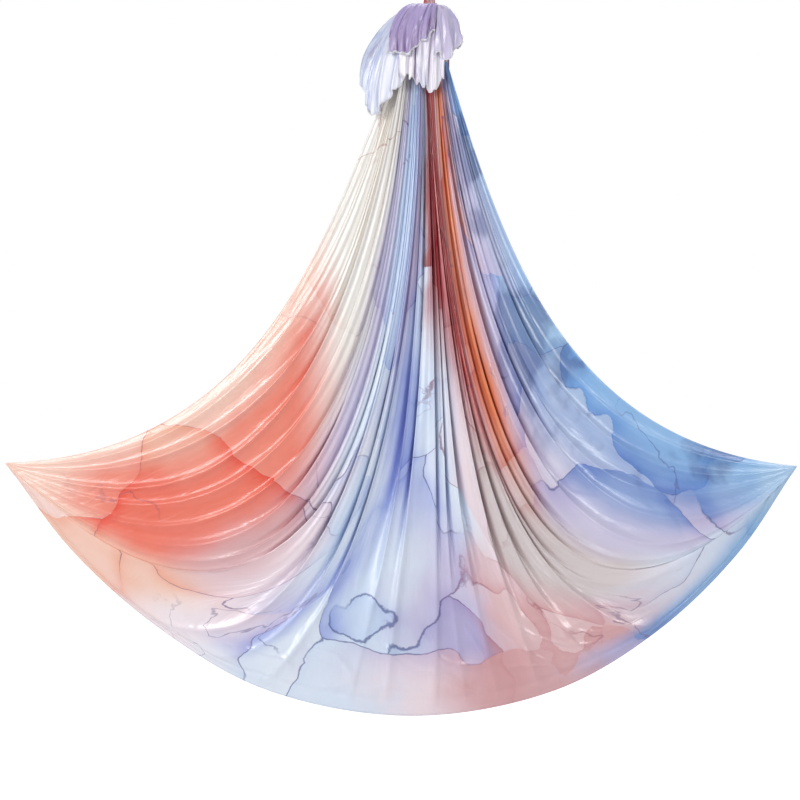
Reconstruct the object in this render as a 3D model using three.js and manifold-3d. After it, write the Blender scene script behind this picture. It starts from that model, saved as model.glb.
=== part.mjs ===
// Aerial yoga hammock: one wide sheet of nylon tricot, folded in half so that its lower fold makes a seat,
// gathered at both ends, hung over the basket of a steel screw-lock carabiner and tied there,
// with the loose ends falling over the tie as ruffles. Millimetres, +Z up.
// The origin is the inside top of the carabiner, where the whole hammock hangs.
// The carabiner lies in the XZ plane, with its gate at -X. The front layer of cloth is at -Y.
import * as THREE from "three";
import { mergeVertices } from "three/addons/utils/BufferGeometryUtils.js";
import Module from "manifold-3d";

// Driving dimensions
const SPAN = 2240; // tip to tip of the spread seat
const DROP = 1850; // from the throat, where the gathers open, to the lowest point of the seat
const NECK_LENGTH = 190; // from the carabiner's basket bar down to the throat
const CLEARANCE = 0.3; // between pieces that touch or run on each other
const CLOTH_THICKNESS = 1.5; // the cloth's solid, thicker than the real 0.35 mm tricot

// Carabiner: steel bar bent to a D with a flat basket
const BAR_DIAMETER = 11;
const INSIDE_LENGTH = 90;
const INSIDE_WIDTH = 44;
const BASKET_CORNER_RADIUS = 14;
const BAR_RADIUS = BAR_DIAMETER / 2;
const SIDE_X = INSIDE_WIDTH / 2 + BAR_RADIUS;
const BASKET_Z = -(INSIDE_LENGTH + BAR_RADIUS);

// Gate, which swings inwards on a pin in the body's lug
const GATE_RADIUS = 4.7;
const PIN_DROP = 66; // the gate pin, below the inside top
const GATE_HEAD_DROP = 29.8;
const GATE_HEEL = 5; // gate below its pin
const HEEL_ROOM = 7.5; // clear of the turning heel
const HEAD_ROOM = 0.8; // clear of the turning head
const PIN_RADIUS = 1.5;
const LUG_THICKNESS = 4;
const NOSE_LENGTH = 6; // the turned-down nose that the sleeve slides over
const TONGUE_LENGTH = 5.6;
const TONGUE_THICKNESS = 3.4;
const TONGUE_WIDTH = 6.4;
const LATCH_PIN_RADIUS = 1.2;
const LATCH_PIN_BELOW_NOSE = 3.4;
const SPRING_BORE_RADIUS = 2.6;
const SPRING_BORE_LENGTH = 20;
const SPRING_WIRE = 0.6;
const SPRING_TURNS = 9;
const PLUNGER_LENGTH = 4.2;

// Lock sleeve on the gate, shown unscrewed
const SLEEVE_WALL = 2.3;
const SLEEVE_LENGTH = 18;
const SLEEVE_TOP_DROP = 36.5;
const SLEEVE_FLUTES = 14;
const FLUTE_RADIUS = 1.1;
const SLEEVE_EDGE = 1;

// Gathered necks over the basket bar
const NECK_WIDTH_AT_BAR = 32;
const NECK_DEPTH_AT_BAR = 22;
const NECK_GAP = 3; // from the middle plane to each layer at the throat
const THROAT_WIDTH = 132;
const THROAT_DEPTH = 46;
const THROAT_X = -17; // the throat hangs a little to the gate's side
const NECK_FLUTES = 9;
const FLUTE_SHARE = 0.07;

// Folded panels
const PLEAT_DEPTH = 42;
const SEAT_GAP = 27; // how far each layer stands off the middle plane, at the seat
const ROLL_RADIUS = 13; // the soft roll of the lower fold, at the lowest point
const TIP_RADIUS = 3;
const TIP_HEIGHT = 14; // the gathered cloth at each spread tip

// Tie round the necks
const TIE_DROP = 150; // below the inside top
const TIE_THICKNESS = 9;
const TIE_HEIGHT = 30;
const TIE_TURNS = 3;
const TIE_ROOM = 1.8; // between the tie and the widest flute inside it
const TIE_VALLEY_SHARE = 0.7; // the tie's wall between two turns, of TIE_THICKNESS

// Tail ruffles over the tie
const TAIL_DROP = 330; // the longest tail, from where it leaves the tie
const TAIL_REACH = 180; // how far the longest tail stands out sideways
const TAIL_TOP_DROP = 126; // the height from which the tails' drops are taken, below the inside top
const TAIL_RISE = 18; // the tails stand up this far before they fall
const TAIL_OVERHANG = 14;
const TAIL_RIPPLE = 4;
const SHOULDER_SHARE = 0.3; // how far down a tail turns to fall straight, of its drop

const THROAT_Z = BASKET_Z - NECK_LENGTH;
const HALF_SPAN = SPAN / 2;

const wasm = await Module();
wasm.setup();

function toSolid(geometry) {
  const bare = geometry.clone();
  bare.deleteAttribute("normal");
  bare.deleteAttribute("uv");
  const merged = mergeVertices(bare, 1e-4);
  return new wasm.Manifold(
    new wasm.Mesh({
      numProp: 3,
      vertProperties: merged.attributes.position.array,
      triVerts: new Uint32Array(merged.index.array),
    }),
  );
}

function toGeometry(solid) {
  const mesh = solid.getMesh();
  const geometry = new THREE.BufferGeometry();
  geometry.setAttribute("position", new THREE.BufferAttribute(mesh.vertProperties, 3));
  geometry.setIndex(new THREE.BufferAttribute(mesh.triVerts, 1));
  geometry.computeVertexNormals();
  return geometry;
}

function rodAlongY(radius, length, x, z) {
  return new THREE.CylinderGeometry(radius, radius, length, 20).translate(x, 0, z);
}

function boxAt(width, depth, height, x, y, z) {
  return new THREE.BoxGeometry(width, depth, height).translate(x, y, z);
}

// A lathe part that stands on Z. The profile's points are [radius, z].
function turned(profile, segments) {
  const points = profile.map(([radius, z]) => new THREE.Vector2(radius, z));
  return new THREE.LatheGeometry(points, segments).rotateX(Math.PI / 2);
}

// A closed solid through rings of points, with a cap on each end.
function loft(rings) {
  const sides = rings[0].length;
  const points = rings.flat();
  const faces = [];
  for (let r = 0; r < rings.length - 1; r++) {
    for (let i = 0; i < sides; i++) {
      const a = r * sides + i;
      const b = r * sides + ((i + 1) % sides);
      faces.push(a, b, b + sides, a, b + sides, a + sides);
    }
  }
  const last = (rings.length - 1) * sides;
  for (const [start, flip] of [[0, true], [last, false]]) {
    const middle = new THREE.Vector3();
    for (let i = 0; i < sides; i++) middle.add(points[start + i]);
    const centre = points.push(middle.divideScalar(sides)) - 1;
    for (let i = 0; i < sides; i++) {
      const a = start + i;
      const b = start + ((i + 1) % sides);
      faces.push(centre, flip ? b : a, flip ? a : b);
    }
  }
  return facesOut(points, faces);
}

function facesOut(points, faces) {
  const geometry = new THREE.BufferGeometry().setFromPoints(points);
  geometry.setIndex(faces);
  let volume = 0;
  for (let i = 0; i < faces.length; i += 3) {
    const [a, b, c] = [points[faces[i]], points[faces[i + 1]], points[faces[i + 2]]];
    volume += a.dot(new THREE.Vector3().crossVectors(b, c));
  }
  if (volume < 0) geometry.setIndex(faces.reverse());
  geometry.computeVertexNormals();
  return geometry;
}

// A sheet of cloth as a thin closed solid: grid[row][column] is its middle surface.
function sheet(grid, thickness) {
  const rows = grid.length;
  const columns = grid[0].length;
  const near = [];
  const far = [];
  for (let r = 0; r < rows; r++) {
    for (let c = 0; c < columns; c++) {
      const across = new THREE.Vector3().subVectors(
        grid[r][Math.min(c + 1, columns - 1)],
        grid[r][Math.max(c - 1, 0)],
      );
      const along = new THREE.Vector3().subVectors(
        grid[Math.min(r + 1, rows - 1)][c],
        grid[Math.max(r - 1, 0)][c],
      );
      const normal = across.cross(along).setLength(thickness / 2);
      near.push(grid[r][c].clone().add(normal));
      far.push(grid[r][c].clone().sub(normal));
    }
  }
  const back = near.length;
  const faces = [];
  const quad = (a, b, c, d) => faces.push(a, b, c, a, c, d);
  const at = (r, c) => r * columns + c;
  for (let r = 0; r < rows - 1; r++) {
    for (let c = 0; c < columns - 1; c++) {
      quad(at(r, c), at(r, c + 1), at(r + 1, c + 1), at(r + 1, c));
      quad(back + at(r, c), back + at(r + 1, c), back + at(r + 1, c + 1), back + at(r, c + 1));
    }
  }
  for (let c = 0; c < columns - 1; c++) {
    const end = rows - 1;
    quad(at(0, c), back + at(0, c), back + at(0, c + 1), at(0, c + 1));
    quad(at(end, c), at(end, c + 1), back + at(end, c + 1), back + at(end, c));
  }
  for (let r = 0; r < rows - 1; r++) {
    const end = columns - 1;
    quad(at(r, 0), at(r + 1, 0), back + at(r + 1, 0), back + at(r, 0));
    quad(at(r, end), back + at(r, end), back + at(r + 1, end), at(r + 1, end));
  }
  return facesOut([...near, ...far], faces);
}

// A smooth row of a table: rows[i] holds at stationShares[i], and the rest is drawn through them.
function rowAt(stationShares, rows, share) {
  const last = rows.length - 1;
  let i = 0;
  while (i < last - 1 && share > stationShares[i + 1]) i++;
  const span = stationShares[i + 1] - stationShares[i];
  const u = THREE.MathUtils.clamp((share - stationShares[i]) / span, 0, 1);
  const slope = (j, k) => {
    const [low, high] = [Math.max(j - 1, 0), Math.min(j + 1, last)];
    return (rows[high][k] - rows[low][k]) / (stationShares[high] - stationShares[low]);
  };
  return rows[i].map((value, k) => {
    const rise = rows[i + 1][k] - value;
    const start = slope(i, k) * span;
    const end = slope(i + 1, k) * span;
    return value + u * (start + u * (3 * rise - 2 * start - end + u * (start + end - 2 * rise)));
  });
}

// Carabiner

class BarLine extends THREE.Curve {
  constructor(flat) {
    super();
    this.flat = flat;
  }
  getPoint(share) {
    const point = this.flat.getPoint(share);
    return new THREE.Vector3(point.x, 0, point.y);
  }
}

function carabinerBody() {
  const bowZ = BAR_RADIUS - SIDE_X;
  const cornerZ = BASKET_Z + BASKET_CORNER_RADIUS;
  const cornerX = SIDE_X - BASKET_CORNER_RADIUS;
  const noseZ = -(GATE_HEAD_DROP - HEAD_ROOM);
  const heelZ = -(PIN_DROP + HEEL_ROOM);
  const line = new THREE.Path();
  line.moveTo(-SIDE_X, noseZ + NOSE_LENGTH);
  line.absarc(0, bowZ, SIDE_X, Math.PI, 0, true);
  line.lineTo(SIDE_X, cornerZ);
  line.absarc(cornerX, cornerZ, BASKET_CORNER_RADIUS, 0, -Math.PI / 2, true);
  line.lineTo(-cornerX, BASKET_Z);
  line.absarc(-cornerX, cornerZ, BASKET_CORNER_RADIUS, -Math.PI / 2, -Math.PI, true);
  line.lineTo(-SIDE_X, heelZ);
  const section = new THREE.Shape().absarc(0, 0, BAR_RADIUS, 0, Math.PI * 2);
  const bar = new THREE.ExtrudeGeometry(section, {
    extrudePath: new BarLine(line),
    steps: 72,
    curveSegments: 7,
  });
  const sunk = BAR_RADIUS; // how far the added ends run into the bar
  const noseLength = NOSE_LENGTH + sunk;
  const nose = new THREE.CylinderGeometry(GATE_RADIUS, GATE_RADIUS, noseLength, 20)
    .rotateX(Math.PI / 2)
    .translate(-SIDE_X, 0, noseZ + noseLength / 2);
  const tongueHeight = TONGUE_LENGTH + NOSE_LENGTH;
  const tongueZ = noseZ - TONGUE_LENGTH + tongueHeight / 2;
  const tongue = boxAt(TONGUE_WIDTH, TONGUE_THICKNESS, tongueHeight, -SIDE_X, 0, tongueZ);
  const lugHeight = HEEL_ROOM + sunk;
  const lug = boxAt(2 * GATE_RADIUS, LUG_THICKNESS, lugHeight, -SIDE_X, 0, -PIN_DROP - lugHeight / 2);
  const lugHead = rodAlongY(GATE_RADIUS, LUG_THICKNESS, -SIDE_X, -PIN_DROP);
  const pinHole = rodAlongY(PIN_RADIUS + CLEARANCE, BAR_DIAMETER, -SIDE_X, -PIN_DROP);
  const latchZ = noseZ - LATCH_PIN_BELOW_NOSE;
  const notchRadius = LATCH_PIN_RADIUS + 2 * CLEARANCE;
  const notch = rodAlongY(notchRadius, BAR_DIAMETER, -SIDE_X, latchZ);
  const notchMouth = boxAt(TONGUE_WIDTH, BAR_DIAMETER, 2 * notchRadius, 0, 0, latchZ).translate(
    TONGUE_WIDTH / 2 - SIDE_X,
    0,
    0,
  );
  return toGeometry(
    toSolid(bar)
      .add(toSolid(nose))
      .add(toSolid(tongue))
      .add(toSolid(lug))
      .add(toSolid(lugHead))
      .subtract(toSolid(pinHole))
      .subtract(toSolid(notch))
      .subtract(toSolid(notchMouth)),
  );
}

function gate() {
  const low = -(PIN_DROP + GATE_HEEL);
  const high = -GATE_HEAD_DROP;
  const height = high - low;
  const cutDepth = 2 * BAR_DIAMETER;
  const body = new THREE.CylinderGeometry(GATE_RADIUS, GATE_RADIUS, height, 24)
    .rotateX(Math.PI / 2)
    .translate(-SIDE_X, 0, (low + high) / 2);
  const forkHeight = GATE_HEEL + GATE_RADIUS + CLEARANCE;
  const fork = boxAt(
    cutDepth,
    LUG_THICKNESS + 2 * CLEARANCE,
    2 * forkHeight,
    -SIDE_X,
    0,
    low,
  );
  const slotHeight = TONGUE_LENGTH + HEAD_ROOM;
  const slot = boxAt(
    cutDepth,
    TONGUE_THICKNESS + 2 * CLEARANCE,
    2 * slotHeight,
    -SIDE_X,
    0,
    high,
  );
  const springBore = new THREE.CylinderGeometry(
    SPRING_BORE_RADIUS,
    SPRING_BORE_RADIUS,
    SPRING_BORE_LENGTH + GATE_HEEL,
    16,
  )
    .rotateX(Math.PI / 2)
    .translate(-SIDE_X, 0, low + forkHeight + (SPRING_BORE_LENGTH - GATE_HEEL) / 2);
  const pinHole = rodAlongY(PIN_RADIUS + CLEARANCE, cutDepth, -SIDE_X, -PIN_DROP);
  const latchZ = high + HEAD_ROOM - LATCH_PIN_BELOW_NOSE;
  const latchHole = rodAlongY(LATCH_PIN_RADIUS + CLEARANCE, cutDepth, -SIDE_X, latchZ);
  return toGeometry(
    toSolid(body)
      .subtract(toSolid(fork))
      .subtract(toSolid(slot))
      .subtract(toSolid(springBore))
      .subtract(toSolid(pinHole))
      .subtract(toSolid(latchHole)),
  );
}

const PLUNGER_TIP_Z = -PIN_DROP + GATE_RADIUS + CLEARANCE;

function springPlunger() {
  const shaft = SPRING_BORE_RADIUS - 2 * SPRING_WIRE - 2 * CLEARANCE;
  const shoulder = SPRING_BORE_RADIUS - CLEARANCE;
  const top = PLUNGER_TIP_Z + PLUNGER_LENGTH;
  return turned(
    [
      [0, PLUNGER_TIP_Z],
      [shoulder - SPRING_WIRE, PLUNGER_TIP_Z],
      [shoulder, PLUNGER_TIP_Z + SPRING_WIRE],
      [shoulder, PLUNGER_TIP_Z + PLUNGER_LENGTH / 2],
      [shaft, PLUNGER_TIP_Z + PLUNGER_LENGTH / 2],
      [shaft, top],
      [0, top],
    ],
    16,
  ).translate(-SIDE_X, 0, 0);
}

class Helix extends THREE.Curve {
  constructor(radius, rise, turns) {
    super();
    Object.assign(this, { radius, rise, turns });
  }
  getPoint(share) {
    const angle = share * this.turns * Math.PI * 2;
    return new THREE.Vector3(
      this.radius * Math.cos(angle),
      this.radius * Math.sin(angle),
      share * this.rise,
    );
  }
}

function gateSpring() {
  const low = PLUNGER_TIP_Z + PLUNGER_LENGTH / 2 + SPRING_WIRE / 2 + CLEARANCE;
  const high = -(PIN_DROP - GATE_RADIUS) + SPRING_BORE_LENGTH - SPRING_WIRE - CLEARANCE;
  const coil = new Helix(SPRING_BORE_RADIUS - CLEARANCE - SPRING_WIRE / 2, high - low, SPRING_TURNS);
  const wire = new THREE.Shape().absarc(0, 0, SPRING_WIRE / 2, 0, Math.PI * 2);
  return new THREE.ExtrudeGeometry(wire, {
    extrudePath: coil,
    steps: SPRING_TURNS * 8,
    curveSegments: 3,
  }).translate(-SIDE_X, 0, low);
}

function gatePin() {
  return rodAlongY(PIN_RADIUS, 2 * GATE_RADIUS, -SIDE_X, -PIN_DROP);
}

function latchPin() {
  const latchZ = -(GATE_HEAD_DROP - HEAD_ROOM) - LATCH_PIN_BELOW_NOSE;
  return rodAlongY(LATCH_PIN_RADIUS, 2 * GATE_RADIUS - SLEEVE_EDGE, -SIDE_X, latchZ);
}

function lockSleeve() {
  const inner = GATE_RADIUS + CLEARANCE;
  const outer = inner + SLEEVE_WALL;
  const top = -SLEEVE_TOP_DROP;
  const low = top - SLEEVE_LENGTH;
  const tube = turned(
    [
      [inner, low],
      [outer - SLEEVE_EDGE, low],
      [outer, low + SLEEVE_EDGE],
      [outer, top - SLEEVE_EDGE],
      [outer - SLEEVE_EDGE, top],
      [inner, top],
      [inner, low],
    ],
    42,
  );
  let sleeve = toSolid(tube);
  for (let i = 0; i < SLEEVE_FLUTES; i++) {
    const angle = (i / SLEEVE_FLUTES) * Math.PI * 2;
    const flute = new THREE.CylinderGeometry(FLUTE_RADIUS, FLUTE_RADIUS, SLEEVE_LENGTH * 2, 8)
      .rotateX(Math.PI / 2)
      .translate(outer + FLUTE_RADIUS / 2, 0, low)
      .rotateZ(angle);
    sleeve = sleeve.subtract(toSolid(flute));
  }
  return toGeometry(sleeve).translate(-SIDE_X, 0, 0);
}

// Cloth

// Fold lines of one layer, seen from the front. Each row is a curve from the throat to the lower fold:
// x at the throat, then two points that pull the curve. x is a share of HALF_SPAN, z a share of DROP.
// Lines before TIP_SHARE of the width swing down and up again to the left tip, and so at the right.
const TIP_SHARE = 0.3;
const lineShares = [0, 0.15, 0.3, 0.4, 0.5, 0.6, 0.7, 0.85, 1];
const pullShares = [
  [-0.075, -0.24, 0.2, -0.365, 0.6],
  [-0.06, -0.165, 0.56, -0.455, 0.81],
  [-0.04, -0.1, 0.9, -0.6, 0.89],
  [-0.028, -0.03, 0.58, -0.3, 0.92],
  [-0.015, 0, 0.35, -0.035, 0.67],
  [-0.003, 0.05, 0.55, 0.22, 0.9],
  [0.01, 0.06, 0.88, 0.5, 0.89],
  [0.025, 0.12, 0.58, 0.43, 0.88],
  [0.043, 0.19, 0.305, 0.355, 0.585],
];

// The lower fold, from the left tip to the right one.
const seatShares = [
  [-1.065, 0.62],
  [-0.9, 0.75],
  [-0.675, 0.87],
  [-0.415, 0.96],
  [-0.045, 1],
  [0.32, 0.96],
  [0.575, 0.87],
  [0.78, 0.75],
  [0.92, 0.625],
];
const seatLine = new THREE.CatmullRomCurve3(
  seatShares.map(([x, z]) => new THREE.Vector3(x * HALF_SPAN, 0, THROAT_Z - z * DROP)),
  false,
  "centripetal",
);

// Where a fold line meets the lower fold: the point inside the roll, the outward direction
// and the roll's radius.
function seatEnd(share) {
  const across = THREE.MathUtils.clamp((share - TIP_SHARE) / (1 - 2 * TIP_SHARE), 0, 1);
  const along = 0.5 * across + 0.5 * (0.5 + Math.asin(2 * across - 1) / Math.PI);
  const tangent = seatLine.getTangentAt(along);
  const outward = new THREE.Vector3(tangent.z, 0, -tangent.x);
  const radius = TIP_RADIUS + (ROLL_RADIUS - TIP_RADIUS) * Math.sin(Math.PI * along);
  const past = Math.max(TIP_SHARE - share, 0) - Math.max(share - 1 + TIP_SHARE, 0);
  const point = seatLine
    .getPointAt(along)
    .addScaledVector(tangent, (-past / TIP_SHARE) * TIP_HEIGHT)
    .addScaledVector(outward, -radius);
  return { point, outward, radius };
}

function foldLine(share) {
  const [topX, pullX, pullZ, holdX, holdZ] = rowAt(lineShares, pullShares, share);
  return new THREE.CubicBezierCurve3(
    new THREE.Vector3(topX * HALF_SPAN, 0, THROAT_Z),
    new THREE.Vector3(pullX * HALF_SPAN, 0, THROAT_Z - pullZ * DROP),
    new THREE.Vector3(holdX * HALF_SPAN, 0, THROAT_Z - holdZ * DROP),
    seatEnd(share).point,
  );
}

// How far a layer's valleys stand off the middle plane, between the throat (0) and the lower fold (1).
// They come away slowly from the throat, hang level over the seat and close in again at the fold.
const EDGE_GAP_SHARE = 0.3;
function layerGap(share, down) {
  const edge = EDGE_GAP_SHARE + (1 - EDGE_GAP_SHARE) * Math.sqrt(Math.sin(Math.PI * share));
  const ends = NECK_GAP + (seatEnd(share).radius - NECK_GAP) * down;
  const middle = down < 0.5 ? Math.sin(Math.PI * down) ** 0.6 : 1 - (2 * down - 1) ** 6;
  return ends + SEAT_GAP * edge * middle;
}

// Each fold has a face in front, a side, a face behind and a side.
const foldStartShares = [0, 0.1, 0.2, 0.3, 0.385, 0.46, 0.535, 0.615, 0.7, 0.85, 1];
const cornerShares = [0, 0.42, 0.54, 0.88];
const crestShares = [1, 1, 0, 0];
const rowShares = [0, 0.06, 0.15, 0.26, 0.37, 0.48, 0.59, 0.7, 0.8, 0.89, 0.96, 1];
const ROLL_ROWS = 3;

// One layer of the sheet. The front one carries on round the lower fold, where the back one stops short.
function panel(side, carriesRoll) {
  const columns = [];
  for (let fold = 0; fold < foldStartShares.length - 1; fold++) {
    const start = foldStartShares[fold];
    const width = foldStartShares[fold + 1] - start;
    cornerShares.forEach((corner, i) => {
      columns.push({ share: start + corner * width, crest: crestShares[i] });
    });
  }
  columns.push({ share: 1, crest: 0 });
  const lines = columns.map(({ share }) => foldLine(share));
  const grid = rowShares.map((down) =>
    columns.map(({ share, crest }, i) => {
      const point = lines[i].getPoint(down);
      if (down === 1 && !carriesRoll) point.addScaledVector(seatEnd(share).outward, -2 * CLEARANCE);
      const depth = PLEAT_DEPTH * (1 - down ** 3) * crest;
      return point.setY(side * (layerGap(share, down) + depth));
    }),
  );
  for (let r = 1; carriesRoll && r <= ROLL_ROWS; r++) {
    const turn = (r / ROLL_ROWS) * Math.PI;
    grid.push(
      columns.map(({ share }, i) => {
        const { outward, radius } = seatEnd(share);
        const under = lines[i].v3.clone().addScaledVector(outward, radius * Math.sin(turn));
        return under.setY(side * radius * Math.cos(turn));
      }),
    );
  }
  return sheet(grid, CLOTH_THICKNESS);
}

// The neck's middle and size between the basket bar (0) and the throat (1).
const OVER_BAR = BAR_RADIUS + CLEARANCE + NECK_DEPTH_AT_BAR / 2;
function neckAt(share) {
  const spread = share ** 2;
  const throatY = NECK_GAP + THROAT_DEPTH / 2;
  return {
    x: THROAT_X * share,
    y: OVER_BAR + (throatY - OVER_BAR) * share,
    z: BASKET_Z + share * (THROAT_Z + CLEARANCE - BASKET_Z),
    width: NECK_WIDTH_AT_BAR + (THROAT_WIDTH - NECK_WIDTH_AT_BAR) * spread,
    depth: NECK_DEPTH_AT_BAR + (THROAT_DEPTH - NECK_DEPTH_AT_BAR) * spread,
  };
}

// One gathered neck: over the basket bar and down to the throat, fluted by its gathers.
const neckShares = [0.2, 0.4, 0.6, 0.8, 1];
const BAR_STEPS = 5;
function neck(side) {
  const sides = NECK_FLUTES * 4;
  const rings = [];
  const ring = (centre, down, width, depth) => {
    const out = new THREE.Vector3(0, -down.z, down.y).multiplyScalar(side);
    const points = [];
    for (let i = 0; i < sides; i++) {
      const angle = (i / sides) * Math.PI * 2;
      const flute = 1 - FLUTE_SHARE * (1 + Math.cos(angle * NECK_FLUTES)) / 2;
      const across = (flute * width * Math.cos(angle)) / 2;
      const thick = (flute * depth * Math.sign(Math.sin(angle)) * Math.abs(Math.sin(angle)) ** 0.7) / 2;
      points.push(centre.clone().addScaledVector(out, thick).add(new THREE.Vector3(across, 0, 0)));
    }
    rings.push(points);
  };
  const startTurn = CLEARANCE / OVER_BAR;
  for (let i = 0; i <= BAR_STEPS; i++) {
    const turn = startTurn + (i / BAR_STEPS) * (Math.PI / 2 - startTurn);
    const centre = new THREE.Vector3(
      0,
      side * OVER_BAR * Math.sin(turn),
      BASKET_Z + OVER_BAR * Math.cos(turn),
    );
    const down = new THREE.Vector3(0, side * Math.cos(turn), -Math.sin(turn));
    ring(centre, down, NECK_WIDTH_AT_BAR, NECK_DEPTH_AT_BAR);
  }
  for (const share of neckShares) {
    const { x, y, z, width, depth } = neckAt(share);
    ring(new THREE.Vector3(x, side * y, z), new THREE.Vector3(0, 0, -1), width, depth);
  }
  return loft(rings);
}

// A place on the square-cornered oval that goes round both necks inside the tie, moved outwards by a wall.
function tieOutline(angle, wall) {
  const { x, y, width, depth } = neckAt((TIE_DROP + TIE_HEIGHT / 2 + BASKET_Z) / NECK_LENGTH);
  const round = (value) => Math.sign(value) * Math.sqrt(Math.abs(value));
  const across = width / 2 + TIE_ROOM + wall;
  const deep = y + depth / 2 + TIE_ROOM + wall;
  return new THREE.Vector2(x + across * round(Math.cos(angle)), deep * round(Math.sin(angle)));
}

// The tie: turns of gathered cloth, drawn tight round both necks.
const TIE_SIDES = 36;
const TURN_POINTS = 4;
function tie() {
  const top = -(TIE_DROP - TIE_HEIGHT / 2);
  const section = [[0, 0], [0, 1]];
  for (let i = 0; i <= TIE_TURNS * TURN_POINTS; i++) {
    const down = i / (TIE_TURNS * TURN_POINTS);
    const bulge = Math.abs(Math.sin(down * TIE_TURNS * Math.PI));
    section.push([TIE_VALLEY_SHARE + (1 - TIE_VALLEY_SHARE) * bulge, 1 - down]);
  }
  const points = [];
  const faces = [];
  for (let i = 0; i < TIE_SIDES; i++) {
    const angle = (i / TIE_SIDES) * Math.PI * 2;
    for (const [out, up] of section) {
      const place = tieOutline(angle, out * TIE_THICKNESS);
      points.push(new THREE.Vector3(place.x, place.y, top - (1 - up) * TIE_HEIGHT));
    }
  }
  const count = section.length;
  for (let i = 0; i < TIE_SIDES; i++) {
    for (let j = 0; j < count; j++) {
      const a = i * count + j;
      const b = i * count + ((j + 1) % count);
      const [c, d] = [(a + count) % points.length, (b + count) % points.length];
      faces.push(a, b, d, a, d, c);
    }
  }
  return facesOut(points, faces);
}

// The loose ends of the sheet, above the tie. Each falls from an arc of the tie, in degrees from +X
// towards the back, to its own hem, and leaves the tie at a share of the tie's wall.
const arcDegrees = {
  tail_hood: [205, 312],
  tail_left: [150, 218],
  tail_ruffle: [226, 312],
  tail_right: [322, 395],
  tail_back: [42, 140],
};
const HOOD_FOLDS = 5;
const LEFT_FOLDS = 6;
const RUFFLE_FOLDS = 6;
const RIGHT_FOLDS = 5;
const BACK_FOLDS = 7;
const foldCounts = {
  tail_hood: HOOD_FOLDS,
  tail_left: LEFT_FOLDS,
  tail_ruffle: RUFFLE_FOLDS,
  tail_right: RIGHT_FOLDS,
  tail_back: BACK_FOLDS,
};
const footShares = {
  tail_hood: 0.15,
  tail_left: 0.62,
  tail_ruffle: 0.62,
  tail_right: 0.4,
  tail_back: 0.4,
};

// Each hem's x and y as shares of TAIL_REACH, then its drop as a share of TAIL_DROP.
const hemShares = {
  tail_hood: [
    [-0.82, -0.34, 0.41],
    [-0.7, -0.42, 0.47],
    [-0.5, -0.46, 0.45],
    [-0.28, -0.46, 0.41],
    [-0.08, -0.44, 0.34],
    [0.11, -0.38, 0.22],
  ],
  tail_left: [
    [-0.98, 0.16, 0.52],
    [-1.06, 0.06, 0.68],
    [-1, -0.1, 0.82],
    [-0.93, -0.26, 0.94],
    [-0.78, -0.36, 0.97],
    [-0.58, -0.39, 0.78],
  ],
  tail_ruffle: [
    [-0.46, -0.36, 0.67],
    [-0.3, -0.37, 0.7],
    [-0.12, -0.37, 0.66],
    [0.06, -0.36, 0.67],
    [0.2, -0.34, 0.62],
  ],
  tail_right: [
    [0.27, -0.34, 0.58],
    [0.34, -0.24, 0.44],
    [0.5, -0.08, 0.31],
    [0.5, 0.1, 0.3],
    [0.42, 0.26, 0.42],
  ],
  tail_back: [
    [0.3, 0.38, 0.5],
    [0.05, 0.44, 0.72],
    [-0.25, 0.44, 0.66],
    [-0.5, 0.42, 0.74],
    [-0.7, 0.34, 0.55],
  ],
};
const tailRowShares = [0, 0.12, 0.28, 0.48, 0.72, 1];
const rippleShares = [0, 1, 0, -1];

function tail(name) {
  const hemRows = hemShares[name];
  const stations = hemRows.map((_, i) => i / (hemRows.length - 1));
  const insideShare = 1 - footShares[name];
  const tieTop = -(TIE_DROP - TIE_HEIGHT / 2);
  const columns = foldCounts[name] * rippleShares.length;
  const lines = [];
  for (let c = 0; c <= columns; c++) {
    const share = c / columns;
    const angle = THREE.MathUtils.degToRad(THREE.MathUtils.lerp(...arcDegrees[name], share));
    const foot = tieOutline(angle, footShares[name] * TIE_THICKNESS);
    const out = new THREE.Vector3(Math.cos(angle), Math.sin(angle), 0);
    const [x, y, drop] = rowAt(stations, hemRows, share);
    const start = new THREE.Vector3(foot.x, foot.y, tieTop + CLEARANCE + CLOTH_THICKNESS / 2);
    const hem = new THREE.Vector3(x * TAIL_REACH, y * TAIL_REACH, -TAIL_TOP_DROP - drop * TAIL_DROP);
    const rise = start
      .clone()
      .addScaledVector(out, TAIL_OVERHANG + insideShare * TIE_THICKNESS)
      .add(new THREE.Vector3(0, 0, TAIL_RISE + 2 * insideShare * TIE_THICKNESS));
    const shoulder = hem.clone().setZ(THREE.MathUtils.lerp(start.z, hem.z, SHOULDER_SHARE));
    lines.push({ curve: new THREE.CubicBezierCurve3(start, rise, shoulder, hem), out });
  }
  const grid = tailRowShares.map((down) =>
    lines.map(({ curve, out }, c) => {
      const ripple = rippleShares[c % rippleShares.length] * TAIL_RIPPLE * down;
      return curve.getPoint(down).addScaledVector(out, ripple);
    }),
  );
  return sheet(grid, CLOTH_THICKNESS);
}

const root = new THREE.Group();

function add(name, geometry, color, roughness, metalness) {
  const material = new THREE.MeshStandardMaterial({ color, roughness, metalness });
  const mesh = new THREE.Mesh(geometry, material);
  mesh.name = name;
  root.add(mesh);
}

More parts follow.
